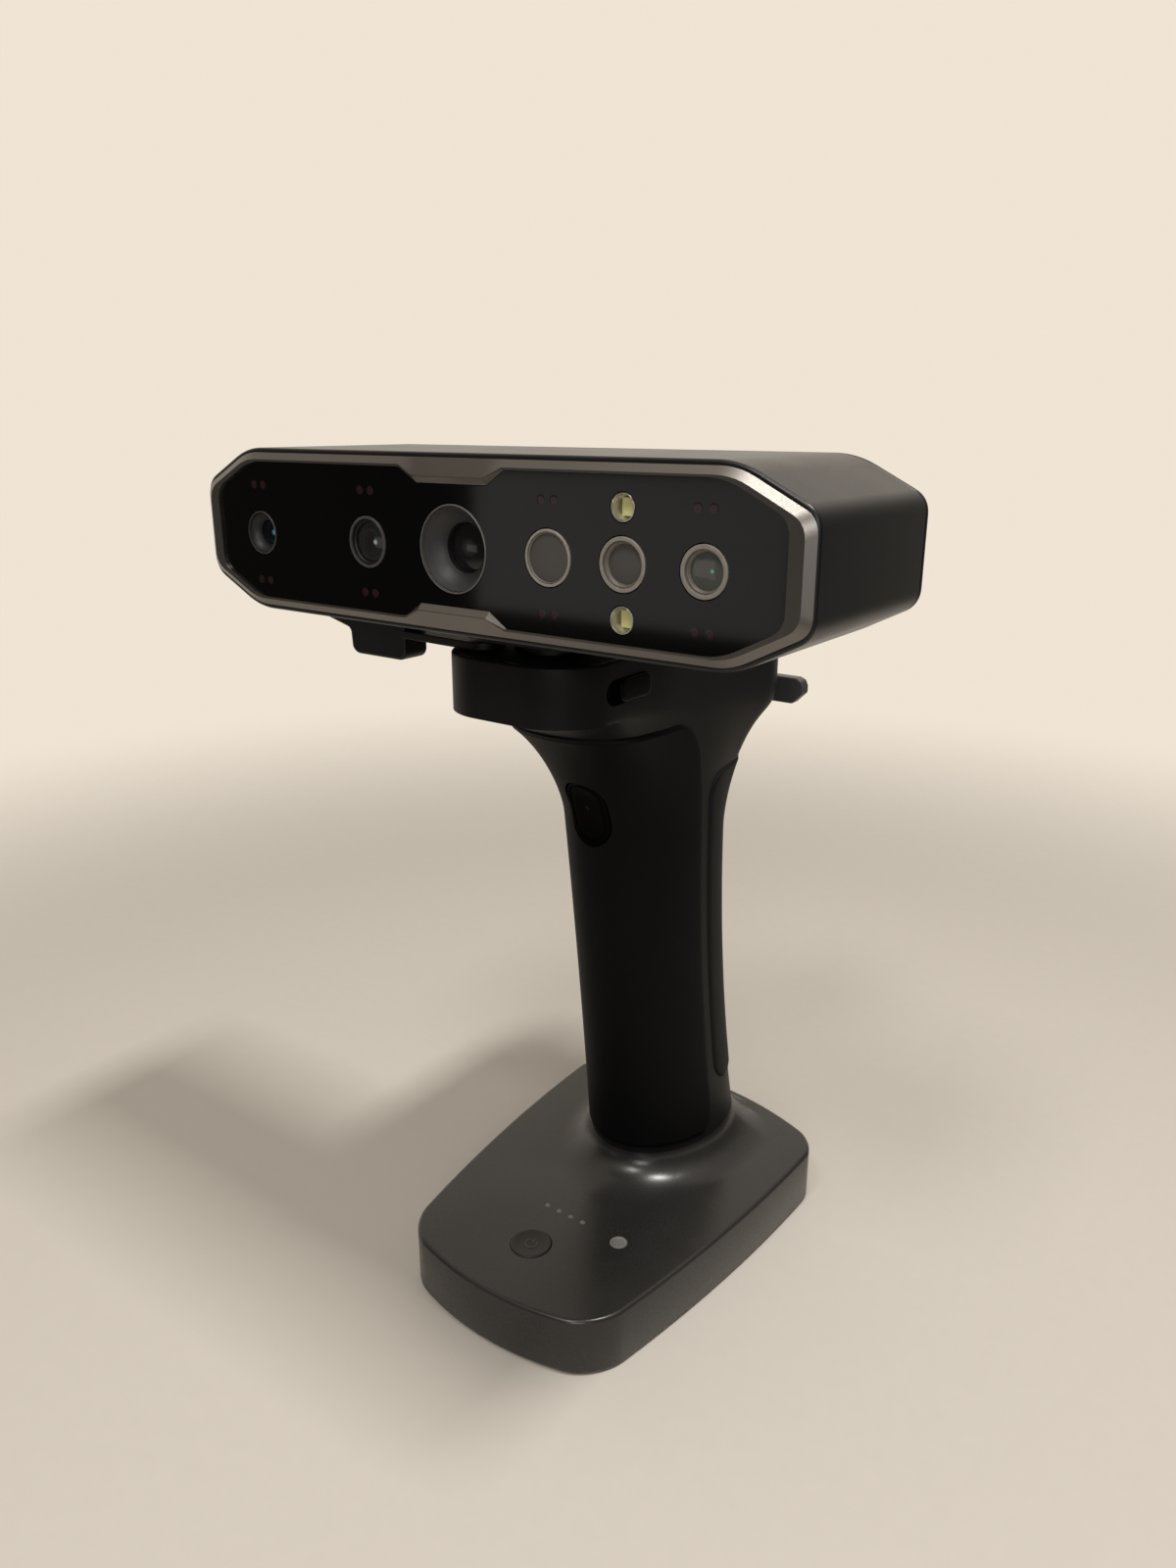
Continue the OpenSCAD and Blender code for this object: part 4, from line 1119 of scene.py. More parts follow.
    def baffle(self, plan: LensPlan) -> list[Pair]:
        """Profile of the funnel behind a ring: a hollow bowl, or the plan's number of steps.

        Args:
            plan: The opening.

        Returns:
            Radius and depth of the points round the funnel's wall.
        """
        face, inner, steps = self.glass_y, plan.inner, plan.steps
        lip = min(0.6, plan.depth * 0.3)
        end, back = face + plan.depth, face + self.cone_depth + plan.depth
        wide, narrow = inner - 0.25, plan.lens_r + 0.25
        high, low = face + lip, face + plan.depth - 0.1
        made = [(inner - 0.05, face + self.cone_depth), (inner - 0.05, face + lip + 0.1), (wide, high)]
        for k in range(1, 0 if steps else self.bowl_steps):
            a, share = quarter(k, self.bowl_steps), k / self.bowl_steps
            made.append((mix(wide, narrow, mix(share, 1 - math.cos(a), 0.4)),
                         mix(high, low, mix(share, math.sin(a), 0.4))))
        for k in range(steps):
            outer, ledge = (mix(wide, narrow, (k + share) / steps) for share in (0.0, 0.8))
            deep = mix(high, low, (k + 1) / steps)
            made += [(outer - 0.02, deep - 0.12), (outer - 0.14, deep), (ledge + 0.1, deep),
                     (ledge, deep + 0.08)]
        made += [(plan.lens_r + 0.12, end - 0.05), (plan.lens_r + 0.05, end), (plan.lens_r, end + 0.4),
                 (plan.lens_r, back), (inner - 0.05, back)]
        return made + made[:1]

    def dome(self, plan: LensPlan) -> list[Pair]:
        """Profile of a lens, from its back edge to the middle of its face.

        Args:
            plan: The opening.

        Returns:
            Radius and depth of the points.
        """
        end = self.glass_y + plan.depth
        made = [(plan.lens_r - self.glass_gap, end + 2.2)]
        for k in range(self.dome_steps, -1, -1):
            a = quarter(k, self.dome_steps)
            radius = max(0.0, plan.lens_r * math.sin(a) - self.glass_gap)
            made.append((radius, end + 0.15 - plan.crown * math.cos(a) ** 2 + plan.crown))
        return made

    def lens(self, plan: LensPlan, palette: Palette) -> None:
        """Ring, baffle and glass of one opening.

        Args:
            plan: The opening.
            palette: The finishes.
        """
        r, inner, face = plan.diameter / 2, plan.inner, self.glass_y
        centre = self.at(plan.x, 0, self.optics_z)
        spot = (plan.x * MM, (self.mid_z + self.optics_z) * MM)
        ring = [(r, face + self.ring_depth), (r, face + 0.02), (r - 0.08, face - 0.16),
                (r - 0.22, face - 0.24), (inner + 0.2, face - 0.24), (inner + 0.06, face - 0.18),
                (inner, face), (inner, face + self.ring_depth)]
        trim = Workshop.lathe(f"{plan.name}_ring", ring + ring[:1], centre, INWARD)
        metal = palette.add(TurnedMetal(f"{plan.name}_turned", plan.ring_colour, spot))
        fit(trim, Body.FRAME, metal, "ring_metal", f"{plan.name}_barrel", angle=40.0)
        tube = Workshop.lathe(f"{plan.name}_baffle", self.baffle(plan), centre, INWARD)
        # Smooth bowls get painted shade that darkens them towards the lens.
        painted_shade_span = None if plan.steps else (plan.lens_r * 0.8 * MM, inner * 1.1 * MM)
        pitch = 0.0003 if plan.steps else (inner - plan.lens_r) / 4 * MM
        cone = palette.add(TurnedMetal(f"{plan.name}_cone", plan.cone, spot, pitch, 0.5, painted_shade_span=painted_shade_span))
        fit(tube, Body.FRAME, cone, "ring_metal", angle=35.0)
        glass = Workshop.lathe(f"{plan.name}_glass", self.dome(plan), centre, INWARD, 72)
        # Lenses with a highlight colour get dark glass with a painted highlight and painted rings; the others
        # get the grey pane glass.
        if plan.painted_glint_tint is None:
            finish = palette["pane_glass"]
        else:
            finish = palette.add(LensGlassWithPaintedGlint(f"{plan.name}_glass_painted_glint", plan.glass, plan.painted_glint_tint, spot,
                                            plan.lens_r * MM, plan.spot, plan.painted_glint_r))
        fit(glass, Body.FRAME, finish, "lens_glass", f"{plan.name}_lens", angle=60.0, flat=False)

    def cups(self, palette: Palette) -> None:
        """Silver cups and yellow chips of the two white lights, above and below the colour camera.

        Args:
            palette: The finishes.
        """
        x = next(lens.x for lens in self.lenses if lens.name == "colour")
        places = [self.optics_z + side * self.cup_rise for side in (-1, 1)]
        r, face, count = self.cup_r, self.glass_y, self.cup_steps
        profile = [(r, face + 6.4), (r, face), (r - 0.06, face - 0.06), (r - 0.2, face - 0.06),
                   (r - 0.3, face + 0.1), (r - 0.4, face + 1.2), (r * 0.76, face + 2.6)]
        for k in range(count, -1, -1):
            profile.append((r * 0.7 * math.sin(quarter(k, count)), face + (3.4 - 0.2 * (k / count) ** 2)))
        made = [Workshop.lathe("cup", profile, self.at(x, 0, z), INWARD, 64) for z in places]
        piece = Workshop.join("light_cups", made)
        fit(piece, Body.FRAME, palette["cup_silver"], "ring_metal", "white_light_cups", angle=50.0,
            flat=False)
        lays = [shift(*self.at(x, face + self.chip_drop, z)) @ turned(-90) for z in places]
        chips = [Workshop.prism("chip", slab(*self.chip, 0.3), lay, 1.0) for lay in lays]
        chip = Workshop.join("light_chips", chips)
        Workshop.bevel(chip, 0.2)
        fit(chip, Body.FRAME, palette["phosphor"], "phosphor", "white_light_chips")

    def infrared(self, palette: Palette) -> None:
        """Faint infrared lights, level with the window's face.

        Args:
            palette: The finishes.
        """
        r, face = self.infrared_r, self.glass_y
        profile = [(r, face + self.ring_depth), (r, face - 0.002), (r - 0.03, face - 0.006),
                   (r * 0.6, face - 0.006), (0.0, face - 0.006)]
        made = []
        for lens in self.lenses:
            if lens.name in ("projector", "colour"):
                continue
            for side in (-1, 1):
                z = self.optics_z + side * self.infrared_rise
                for pair in (-1, 1):
                    centre = self.at(lens.x + pair * self.infrared_pitch / 2, 0, z)
                    made.append(Workshop.lathe("infrared", profile, centre, INWARD, 24))
        piece = Workshop.join("infrared_caps", made)
        fit(piece, Body.FRAME, palette["infrared_plastic"], "infrared_cap", "infrared_lights", angle=40.0,
            flat=False)


# Grip


@dataclass
class GripForm:
    """The lofted surface of the handle, shared by the shell and its skins."""

    deck_z: float = 222.3
    half_w: float = 26.5
    front: float = -60.0
    length: float = 136.0
    r_front: float = 18.0
    r_back: float = 22.0
    neck_z: float = 31.0
    waist_z: float = 100.0
    waist_y: float = 23.0
    waist_d: float = 61.0
    waist_w: float = 46.0
    lean: float = -0.12
    bow: float = 0.0004
    swell: float = 0.00042
    low_front: float = 162.0
    low_back: float = 150.0
    top_front: float = 205.0
    top_back: float = 187.0
    power: float = 1.6
    edges: dict[float, list[Pair]] = field(default_factory=dict)

    def edge(self, inset: float) -> list[Pair]:
        """Outline of the top body, moved inwards.

        Args:
            inset: How far inside the outline.

        Returns:
            The outline's points.
        """
        if inset not in self.edges:
            half = self.half_w - inset
            self.edges[inset] = trapezoid(half, half, self.front + inset, self.front + self.length - inset,
                                          self.r_front - inset, self.r_back - inset)
        return self.edges[inset]

    @property
    def count(self) -> int:
        """Points of the outline."""
        return len(self.edge(0.0))

    @property
    def front_index(self) -> int:
        """Outline point in the middle of the front."""
        return self.count // 2

    def share(self, i: int) -> float:
        """How far back an outline point is, from 0 to 1."""
        return (self.edge(0.0)[i][1] - self.front) / self.length

    def low(self, i: int) -> float:
        """Height where the flare starts."""
        return mix(self.low_front, self.low_back, self.share(i))

    def top(self, i: int) -> float:
        """Height where the flare ends."""
        return mix(self.top_front, self.top_back, self.share(i) ** 2)

    def section(self, i: int, z: float, inset: float) -> Pair:
        """Point of the grip's oval at a height.

        Args:
            i: Outline point.
            z: Height.
            inset: How far inside the surface.

        Returns:
            The point's x and y.
        """
        x, y = self.edge(0.0)[i]
        mid = self.front + self.length / 2
        angle = math.atan2((y - mid) / (self.length / 2), x / self.half_w)
        off = z - self.waist_z
        deep = self.waist_d / 2 + self.swell * off * off
        half = deep * self.waist_w / self.waist_d
        centre = self.waist_y + self.lean * off + self.bow * off * off
        return (half - inset) * math.cos(angle), centre + (deep - inset) * math.sin(angle)

    def at(self, i: int, z: float, inset: float = 0.0) -> Vector:
        """Point of the surface.

        Args:
            i: Outline point.
            z: Height.
            inset: How far inside the surface, negative for outside.

        Returns:
            The point.
        """
        i = i % self.count
        s = clamp01((z - inset - self.low(i)) / (self.top(i) - self.low(i)))
        g = 1 - math.sqrt(1 - s ** self.power)
        x, y = self.section(i, z, inset)
        ex, ey = self.edge(inset)[i]
        return Vector((mix(x, ex, g), mix(y, ey, g), z))

    def between(self, i: float, z: float, inset: float = 0.0) -> Vector:
        """Point of the surface between two outline points."""
        k = math.floor(i)
        return self.at(k, z, inset).lerp(self.at(k + 1, z, inset), i - k)


@dataclass
class Grip:
    """Handle shell, its soft skins, the trigger, the slider and the ledge."""

    form: GripForm = field(default_factory=GripForm)
    wall: float = 2.6
    skin: float = 0.75
    skin_t: float = 0.6
    neck_rows: int = 14
    flare_rows: int = 40
    rim_rows: int = 12
    rim_step: float = 0.9
    patch_columns: int = 90
    patch_rows: int = 110
    lip_u: float = 0.016
    lip_v: float = 0.014
    panel_top: float = 197.3
    strip_reach: float = 51.0
    strip_low: float = 49.5
    strip_top: float = 175.0
    trigger_z: float = 166.5
    trigger_tilt: float = 107.97
    trigger_w: float = 15.0
    trigger_len: float = 24.0
    trigger_gap: float = 0.35
    recess_y: float = -32.8
    recess_z: float = 213.5
    recess_len: float = 22.0
    recess_h: float = 7.6
    recess_depth: float = 3.5
    slider_len: float = 15.5
    slider_round: float = 2.6
    slider_rest: float = 2.95
    ledge_y: float = 79.5
    ledge_z: float = 187.0
    ledge_w: float = 56.0
    ledge_t: float = 4.6
    ledge_h: float = 9.7
    ledge_cut: float = 4.2
    knuckle: float = 6.9
    notch_end: float = 12.2
    notch_h: float = 3.1
    soften_rounds: int = 60

    def build(self, palette: Palette) -> None:
        """Models and dresses every piece of the grip.

        Args:
            palette: The finishes.
        """
        self.shell(palette)
        self.panel(palette)
        self.strip(palette)
        self.trigger(palette)
        self.slider(palette)
        self.ledge(palette)

    def trigger_lay(self) -> Matrix:
        """Takes the trigger's plane onto the front of the grip."""
        spot = self.form.at(self.form.front_index, self.trigger_z)
        return shift(*spot) @ turned(self.trigger_tilt)

    def trigger_cutter(self) -> Piece:
        """Oval prism that opens the shell and the panel for the trigger.

        Returns:
            The cutter.
        """
        outline = stadium(self.trigger_len + 2 * self.trigger_gap, self.trigger_w + 2 * self.trigger_gap)
        upright = [(-y, x) for x, y in outline]
        return Workshop.prism("opening", upright, self.trigger_lay() @ shift(0, 0, -7.0), 22.0)

    def recess_lay(self) -> Matrix:
        """Takes the slider's plane onto the right flank."""
        return shift(self.form.half_w, self.recess_y, self.recess_z) @ (turned(90, "Z") @ turned(90))

    def shell_loops(self, inset: float) -> list[list[Vector]]:
        """Loops of the shell from the neck to just under the rim.

        Args:
            inset: How far inside the surface.

        Returns:
            The loops.
        """
        form = self.form
        every = range(form.count)
        loops = []
        for k in range(self.neck_rows + 1):
            s = k / self.neck_rows
            loops.append([form.at(i, mix(form.neck_z, form.low(i) + inset, s), inset) for i in every])
        for k in range(1, self.flare_rows + 1):
            s = math.sin(quarter(k, self.flare_rows))
            loops.append([form.at(i, mix(form.low(i), form.top(i), s) + inset, inset) for i in every])
        for k in range(1, self.rim_rows + 1):
            lift = Vector((0, 0, self.rim_step * k))
            loops.append([form.at(i, form.top(i) + inset, inset) + lift for i in every])
        return loops

    def softened(self, loops: list[list[Vector]]) -> list[list[Vector]]:
        """Rounds the flare's upper edge along the flanks and the back; the front stays crisp.

        Args:
            loops: Loops of the outer surface.

        Returns:
            The loops with their points drawn together along each column.
        """
        share = [self.form.share(i) for i in range(self.form.count)]
        ease = [clamp01((a - 0.1) / 0.22) for a in share]
        pull = [0.5 * e * e * (3 - 2 * e) for e in ease]
        first, last = 24, len(loops) - 2
        for _ in range(self.soften_rounds):
            before = [list(loop) for loop in loops]
            for j in range(first, last):
                fade = min(1.0, (j - first) / 6, (last - j) / 4)
                for i, weight in enumerate(pull):
                    middle = (before[j - 1][i] + before[j + 1][i]) / 2
                    loops[j][i] = before[j][i].lerp(middle, weight * fade)
        return loops

    def shell(self, palette: Palette) -> None:
        """Handle shell with a rounded rim, the trigger's opening and the slider's recess.

        Args:
            palette: The finishes.
        """
        form, deep = self.form, self.recess_depth
        rim = [(0.0, 0.8), (0.05, 0.45), (0.2, 0.2), (0.45, 0.05), (0.8, 0.0), (self.wall, 0.0)]
        top = [[Vector((x, y, form.deck_z - drop)) for x, y in form.edge(inset)] for inset, drop in rim]
        loops = self.softened(self.shell_loops(0.0)) + top + list(reversed(self.shell_loops(self.wall)))
        piece = Workshop.rings("handle_body", loops, True)
        pill = Workshop.prism("pill", stadium(self.recess_len, self.recess_h),
                              self.recess_lay() @ shift(0, 0, -deep), 8.0)
        Workshop.merge(piece, "DIFFERENCE", self.trigger_cutter())
        floor = Workshop.prism("floor", stadium(self.recess_len + 2.0, self.recess_h + 2.0),
                               self.recess_lay() @ shift(0, 0, -deep - 1.2), deep + 0.6)
        Workshop.merge(piece, "UNION", floor)
        Workshop.merge(piece, "DIFFERENCE", pill)
        fit(piece, Body.FRAME, palette["grip_plastic"], "black_shell", "handle_shell", angle=38.0, flat=False)

    def patch(self, name: str, centre: int, reach: float, low: float, high: float, round_s: float,
              round_z: float) -> Piece:
        """Rounded skin that lies on the handle.

        Args:
            name: The piece's name.
            centre: Outline point in its middle.
            reach: Outline points from the middle to its side.
            low: Height of its lower end.
            high: Height of its upper end.
            round_s: Rounding of its corners, in outline points.
            round_z: Rounding of its corners, in height.

        Returns:
            The piece.
        """
        half, mid = (high - low) / 2, (high + low) / 2

        def spread(lip: float, shares: Sequence[float]) -> list[float]:
            """Places of the grid's lines, close together at both lips."""
            ends = [0.0, lip * 0.4, lip]
            return ends + [mix(lip, 1 - lip, share) for share in shares] + [1 - end for end in reversed(ends)]

        def rise(k: int, count: int) -> float:
            """Height of the skin near one of its edges."""
            edge = min(k, count - 1 - k)
            return (-0.35, 0.55, 0.95)[edge] if edge < 3 else 1.0

        columns, rows = self.patch_columns, self.patch_rows
        us = spread(self.lip_u, [k / columns for k in range(1, columns)])
        vs = spread(self.lip_v, [0.5 - 0.5 * math.cos(math.pi * k / rows) for k in range(1, rows)])

        def place(u: float, v: float) -> Vector:
            """Point of the skin's outer face.

            Args:
                u: Share of the way across.
                v: Share of the way along.

            Returns:
                The point.
            """
            ku, kv = round(u * (len(us) - 1)), round(v * (len(vs) - 1))
            z = mix(low, high, vs[kv])
            e = clamp01((abs(z - mid) - (half - round_z)) / round_z)
            width = reach - round_s * (1 - math.sqrt(1 - e * e))
            lift = self.skin * min(rise(ku, len(us)), rise(kv, len(vs)))
            return self.form.between(centre + (us[ku] * 2 - 1) * width, z, -lift)

        piece = Workshop.sheet(name, len(us) - 1, len(vs) - 1, place)
        Workshop.modify(piece, "SOLIDIFY", thickness=self.skin_t * MM, offset=-1.0)
        return piece

    def panel(self, palette: Palette) -> None:
        """Soft front panel of the grip.

        Args:
            palette: The finishes.
        """
        form = self.form
        piece = self.patch("front_panel", form.front_index, form.count / 4 - 1.0, form.neck_z + 2.0,
                           self.panel_top, 9.0, 15.0)
        Workshop.merge(piece, "DIFFERENCE", self.trigger_cutter())
        fit(piece, Body.FRAME, palette["panel_rubber"], "soft_rubber", "grip_panel", angle=45.0, flat=False)

    def strip(self, palette: Palette) -> None:
        """Rubber strip round the back of the grip.

        Args:
            palette: The finishes.
        """
        piece = self.patch("back_strip", self.form.count, self.strip_reach, self.strip_low, self.strip_top,
                           12.0, 10.0)
        fit(piece, Body.FRAME, palette["strip_rubber"], "soft_rubber", "rear_strip", angle=45.0, flat=False)

    def trigger(self, palette: Palette) -> None:
        """Oval trigger: a saddle with a rolled edge, a groove, a dish and a dot.

        Args:
            palette: The finishes.
        """
        lay = self.trigger_lay()
        profile = [(0.6, -7.0), (0.0, -6.4), (0.0, 0.0), (0.06, 0.25), (0.25, 0.45), (0.55, 0.52),
                   (0.95, 0.48), (1.15, 0.3), (1.3, 0.02), (1.5, -0.08), (1.8, -0.02), (2.0, 0.16),
                   (2.3, 0.24), (2.8, 0.2), (3.6, 0.04), (4.6, -0.14), (5.8, -0.28), (7.0, -0.34),
                   (7.44, -0.35)]
        loops = []
        for inset, height in profile:
            loop = []
            for x, y in stadium(self.trigger_len - 2 * inset, self.trigger_w - 2 * inset, 32):
                saddle = 0.0 if height < -5 else 0.0075 * x * x - 0.016 * y * y
                loop.append(lay @ Vector((-y, x, height + saddle)))
            loops.append(loop)
        piece = Workshop.rings("scan_trigger", loops)
        fit(piece, Body.TRIGGER, palette["trigger_plastic"], "black_shell", "trigger", angle=50.0, flat=False)
        dome = [(0.95, -0.5), (0.95, -0.3), (0.85, -0.18), (0.5, -0.12), (0.0, -0.1)]
        dot = Workshop.lathe("trigger_dot", dome, lay @ Vector((0, 1.2, 0)), lay.to_3x3() @ UP, 32)
        fit(dot, Body.TRIGGER, palette["slider_plastic"], "black_shell", angle=50.0, flat=False)

    def slider(self, palette: Palette) -> None:
        """Slider block with a domed face, lying in its recess.

        Args:
            palette: The finishes.
        """
        lay = self.recess_lay() @ shift(self.slider_rest, 0, 0)
        height = self.recess_h - 0.6
        profile = [(0.0, -3.2), (0.0, 0.25), (0.08, 0.5), (0.28, 0.7), (0.6, 0.8), (1.2, 0.84), (2.4, 0.88),
                   (height / 2 - 0.05, 0.9)]
        loops = []
        for inset, along in profile:
            radius = max(self.slider_round - inset, 0.02)
            corners = self.block_outline(self.slider_len - 2 * inset, height - 2 * inset, radius)
            loops.append([lay @ Vector((x, y, along)) for x, y in corners])
        piece = Workshop.rings("flank_slider", loops)
        fit(piece, Body.SLIDER, palette["slider_plastic"], "black_shell", "release_slider", angle=40.0)

    @staticmethod
    def block_outline(length: float, height: float, radius: float) -> list[Pair]:
        """Rounded rectangle with the same number of points for every size.

        Args:
            length: Size along x.
            height: Size along y.
            radius: Radius of the corners.

        Returns:
            The outline's points.
        """
        x, y = length / 2 - radius, max(height / 2 - radius, 0.0)
        made = []
        for sx, sy, start in ((1, 1, 0), (-1, 1, 90), (-1, -1, 180), (1, -1, 270)):
            made += arc((sx * x, sy * y), radius, start, start + 90, 10)
        return made

    def ledge(self, palette: Palette) -> None:
        """Fold-out ledge: a bevelled plate with its knuckle.

        Args:
            palette: The finishes.
        """
        half, high, t, long = self.ledge_w / 2, self.ledge_h, self.ledge_t, self.knuckle
        right = [(half - 3, high), (half - 0.9, high - 0.9), (half, high - 3), (half, self.ledge_cut),
                 (half - self.ledge_cut, 0.0), (self.notch_end, 0.0), (self.notch_end, self.notch_h),
                 (long, self.notch_h), (long, 0.0)]
        corners = right + [(-x, z) for x, z in reversed(right)]
        lay = shift(0, self.ledge_y + t / 2, self.ledge_z) @ turned(90)
        plate = Workshop.prism("plate", corners, lay, t)
        Workshop.bevel(plate, 0.6, 4)
        profile = [(1.25, -long), (1.9, -long), (2.3, 0.4 - long), (2.3, long - 0.4), (1.9, long),
                   (1.25, long)]
        hinge = Vector((0, self.ledge_y, self.ledge_z))
        barrel = Workshop.lathe("barrel", profile, hinge, Vector((1, 0, 0)), 48)
        piece = Workshop.join("phone_rest", [plate, barrel])
        # Its grey finish is painted light on black plastic.
        fit(piece, Body.LEDGE, palette["ledge_plastic_painted_lit"], "black_shell", "phone_ledge")


# Quick release


@dataclass
class LockLever:
    """Lever that locks the head's plate to the handle."""

    pivot: Pair = (-16.0, -46.0)
    low: float = 222.6
    thick: float = 2.4
    width: float = 10.0
    reach: float = 28.0
    block: float = 24.5
    tip: float = 15.0
    drop: float = 7.0
    rise: float = 7.0

    def build(self, palette: Palette) -> None:
        """Models the arm, the finger block and the tapered tip.

        Args:
            palette: The finishes.
        """
        x, y = self.pivot
        start = x - self.reach
        end = start - self.block
        tip = end - self.tip
        low, high = self.low - self.drop, self.low + self.rise
        outline = arc((start - 3.0, low + 3.0), 3.0, 0, -90, 10)
        outline += arc((end + 4.2, low + 3.4), 3.4, -90, -160, 10)
        outline += arc((end - 1.6, low + 5.9), 2.4, 20, 62, 6)
        outline += [(tip, high - 2.2), (tip, high), (start, high)]
        half = self.width / 2
        block = Workshop.prism("block", outline, shift(0, y + half, 0) @ turned(90), self.width)
        Workshop.bevel(block, 0.9, 4, 40.0)
        arm = arc((x, y), half + 1.5, -90, 90, 16) + [(start - 2, y + half), (start - 2, y - half)]
        plate = Workshop.prism("arm", arm, shift(0, 0, self.low), self.thick)
        Workshop.bevel(plate, 0.35, 3, 40.0)
        piece = Workshop.join("clamp_lever", [block, plate])
        fit(piece, Body.LEVER, palette["lever_plastic"], "black_shell", "lock_lever")


# Foot


@dataclass
class Foot:
    """Foot shell with its button and lights."""

    form: GripForm
    length: float = 148.0
    front_w: float = 83.0
    back_w: float = 105.0
    r_front: float = 12.5
    r_back: float = 9.0
    front_bow: float = 8.5
    back_bow: float = 13.0
    side_bow: float = 3.5
    wall_h: float = 21.0
    edge_r: float = 1.5
    fillet_share: float = 0.8
    fillet_reach: float = 18.0
    edge_rows: int = 9
    fillet_rows: int = 24
    pad: float = 1.2
    wall: float = 2.6
    button_y: float = -48.5
    button_r: float = 7.0
    button_gap: float = 0.14
    lights_y: float = -29.5
    light_r: float = 1.05
    light_gap: float = 0.06
    light_pitch: float = 5.1
    pipe_low: float = 11.0
    status: Pair = (23.5, -30.5)
    status_r: float = 3.0
    status_gap: float = 0.12
    port_z: float = 10.4

    def build(self, palette: Palette) -> None:
        """Models and dresses every piece of the foot.

        Args:
            palette: The finishes.
        """
        self.shell(palette)
        self.button(palette)
        self.lights(palette)

    def edge(self, inset: float) -> list[Pair]:
        """Outline of the foot, moved inwards: a rounded trapezoid with bowed edges.

        Args:
            inset: How far inside the outline.

        Returns:
            The outline's points.
        """
        front, back = self.front_bow - self.length / 2, self.length / 2 - self.back_bow
        straight = trapezoid(self.front_w / 2 - inset, self.back_w / 2 - inset, front + inset, back - inset,
                             self.r_front - inset, self.r_back - inset)
        made = []
        for x, y in straight:
            run = (y - front) / (back - front)
            half = mix(self.front_w, self.back_w, clamp01(run)) / 2 - inset
            side = math.copysign(self.side_bow, x) if x else 0.0
            end = self.back_bow if run > 0.5 else -self.front_bow
            made.append((x + side * max(0.0, 1 - (2 * run - 1) ** 2),
                         y + end * max(0.0, 1 - (x / half) ** 2)))
        return made

    def fillet(self, i: int, z: float, out: float, inset: float, rim: Pair) -> Vector:
        """Point of the fillet between the top and the grip.

        Args:
            i: Outline point.
            z: Height.
            out: Share of the fillet's reach, from the grip outwards.
            inset: How far inside the surface.
            rim: The same outline point on the top's edge.

        Returns:
            The point.
        """
        root = Vector(self.form.section(i, z, inset))
        away = Vector(rim) - root
        reach = min(self.fillet_reach + inset, self.fillet_share * away.length)
        spot = root + away.normalized() * reach * out
        return Vector((spot.x, spot.y, z))

    def loops(self, inset: float) -> list[list[Vector]]:
        """Loops of the foot from the ground to the grip.

        Args:
            inset: How far inside the surface.

        Returns:
            The loops.
        """
        made = [[Vector((x, y, self.pad)) for x, y in self.edge(inset + 0.5)],
                [Vector((x, y, self.pad + 0.15)) for x, y in self.edge(inset + 0.15)],
                [Vector((x, y, self.pad + 0.5)) for x, y in self.edge(inset)]]
        low = self.wall_h - inset
        for k in range(self.edge_rows):
            a = quarter(k, self.edge_rows)
            z = low - self.edge_r * (1 - math.sin(a))
            made.append([Vector((x, y, z)) for x, y in self.edge(inset + self.edge_r * (1 - math.cos(a)))])
        rim = self.edge(inset + self.edge_r)
        made.append([Vector((x, y, low)) for x, y in rim])
        for k in range(self.fillet_rows + 1):
            a = quarter(k, self.fillet_rows)
            z = mix(self.form.neck_z, low, math.cos(a))
            made.append([self.fillet(i, z, 1 - math.sin(a), inset, spot) for i, spot in enumerate(rim)])
        return made

    def shell(self, palette: Palette) -> None:
        """Foot shell with holes for the button, the lights and the socket.

        Args:
            palette: The finishes.
        """
        piece = Workshop.rings("foot_body", self.loops(0.0) + list(reversed(self.loops(self.wall))), True)
        holes = [(0, self.button_y, self.button_r + self.button_gap, 96)]
        holes += [(x, self.lights_y, self.light_r + self.light_gap, 48) for x in self.light_places()]
        holes += [(*self.status, self.status_r + self.status_gap, 48)]
        cutters = []
        for x, y, r, steps in holes:
            profile = [(0.0, 10.0), (r, 10.0), (r, 40.0), (0.0, 40.0)]
            cutters.append(Workshop.lathe("hole", profile, Vector((x, y, 0)), UP, steps))
        lay = shift(0, self.length / 2 + 2, self.port_z) @ turned(90)
        cutters.append(Workshop.prism("port", slab(*SOCKET_MOUTH, 1.4), lay, 8.0))
        Workshop.merge(piece, "DIFFERENCE", *cutters)
        fit(piece, Body.FRAME, palette["foot_plastic"], "black_shell", "base_shell", angle=38.0, flat=False)

    def light_places(self) -> list[float]:
        """Places of the charge lights across the foot."""
        return [(k - 1.5) * self.light_pitch for k in range(4)]

    def button(self, palette: Palette) -> None:
        """Power button: a dished cap with a rolled edge and a printed on-off sign.

        Args:
            palette: The finishes.
        """
        r, top = self.button_r, self.wall_h + 0.35
        profile = [(0.0, top - 4.5), (r, top - 4.5), (r, top - 0.35), (r - 0.1, top - 0.12), (r - 0.3, top),
                   (r - 0.6, top + 0.02), (r - 1.2, top - 0.08), (r * 0.6, top - 0.28), (r * 0.3, top - 0.36),
                   (0.0, top - 0.38)]
        cap = Workshop.lathe("power_cap", profile, Vector((0, self.button_y, 0)), UP)
        fit(cap, Body.POWER, palette["power_plastic"], "black_shell", "power_button", angle=45.0, flat=False)
        inner, outer = (arc((0, 0), radius, 125, 415, 40) for radius in (1.75, 2.2))
        stroke = rounded([(0.24, 2.6), (-0.24, 2.6), (-0.24, 0.6), (0.24, 0.6)], (0.15,))
        lay = shift(0, self.button_y, top - 0.36)
        sign = Workshop.prism("sign", outer + list(reversed(inner)), lay, 0.12)
        bar = Workshop.prism("bar", stroke, lay, 0.12)
        mark = Workshop.join("power_sign", [sign, bar])
        Workshop.bevel(mark, 0.03, 2)
        fit(mark, Body.POWER, palette["mark_paint"], "light_pipe")

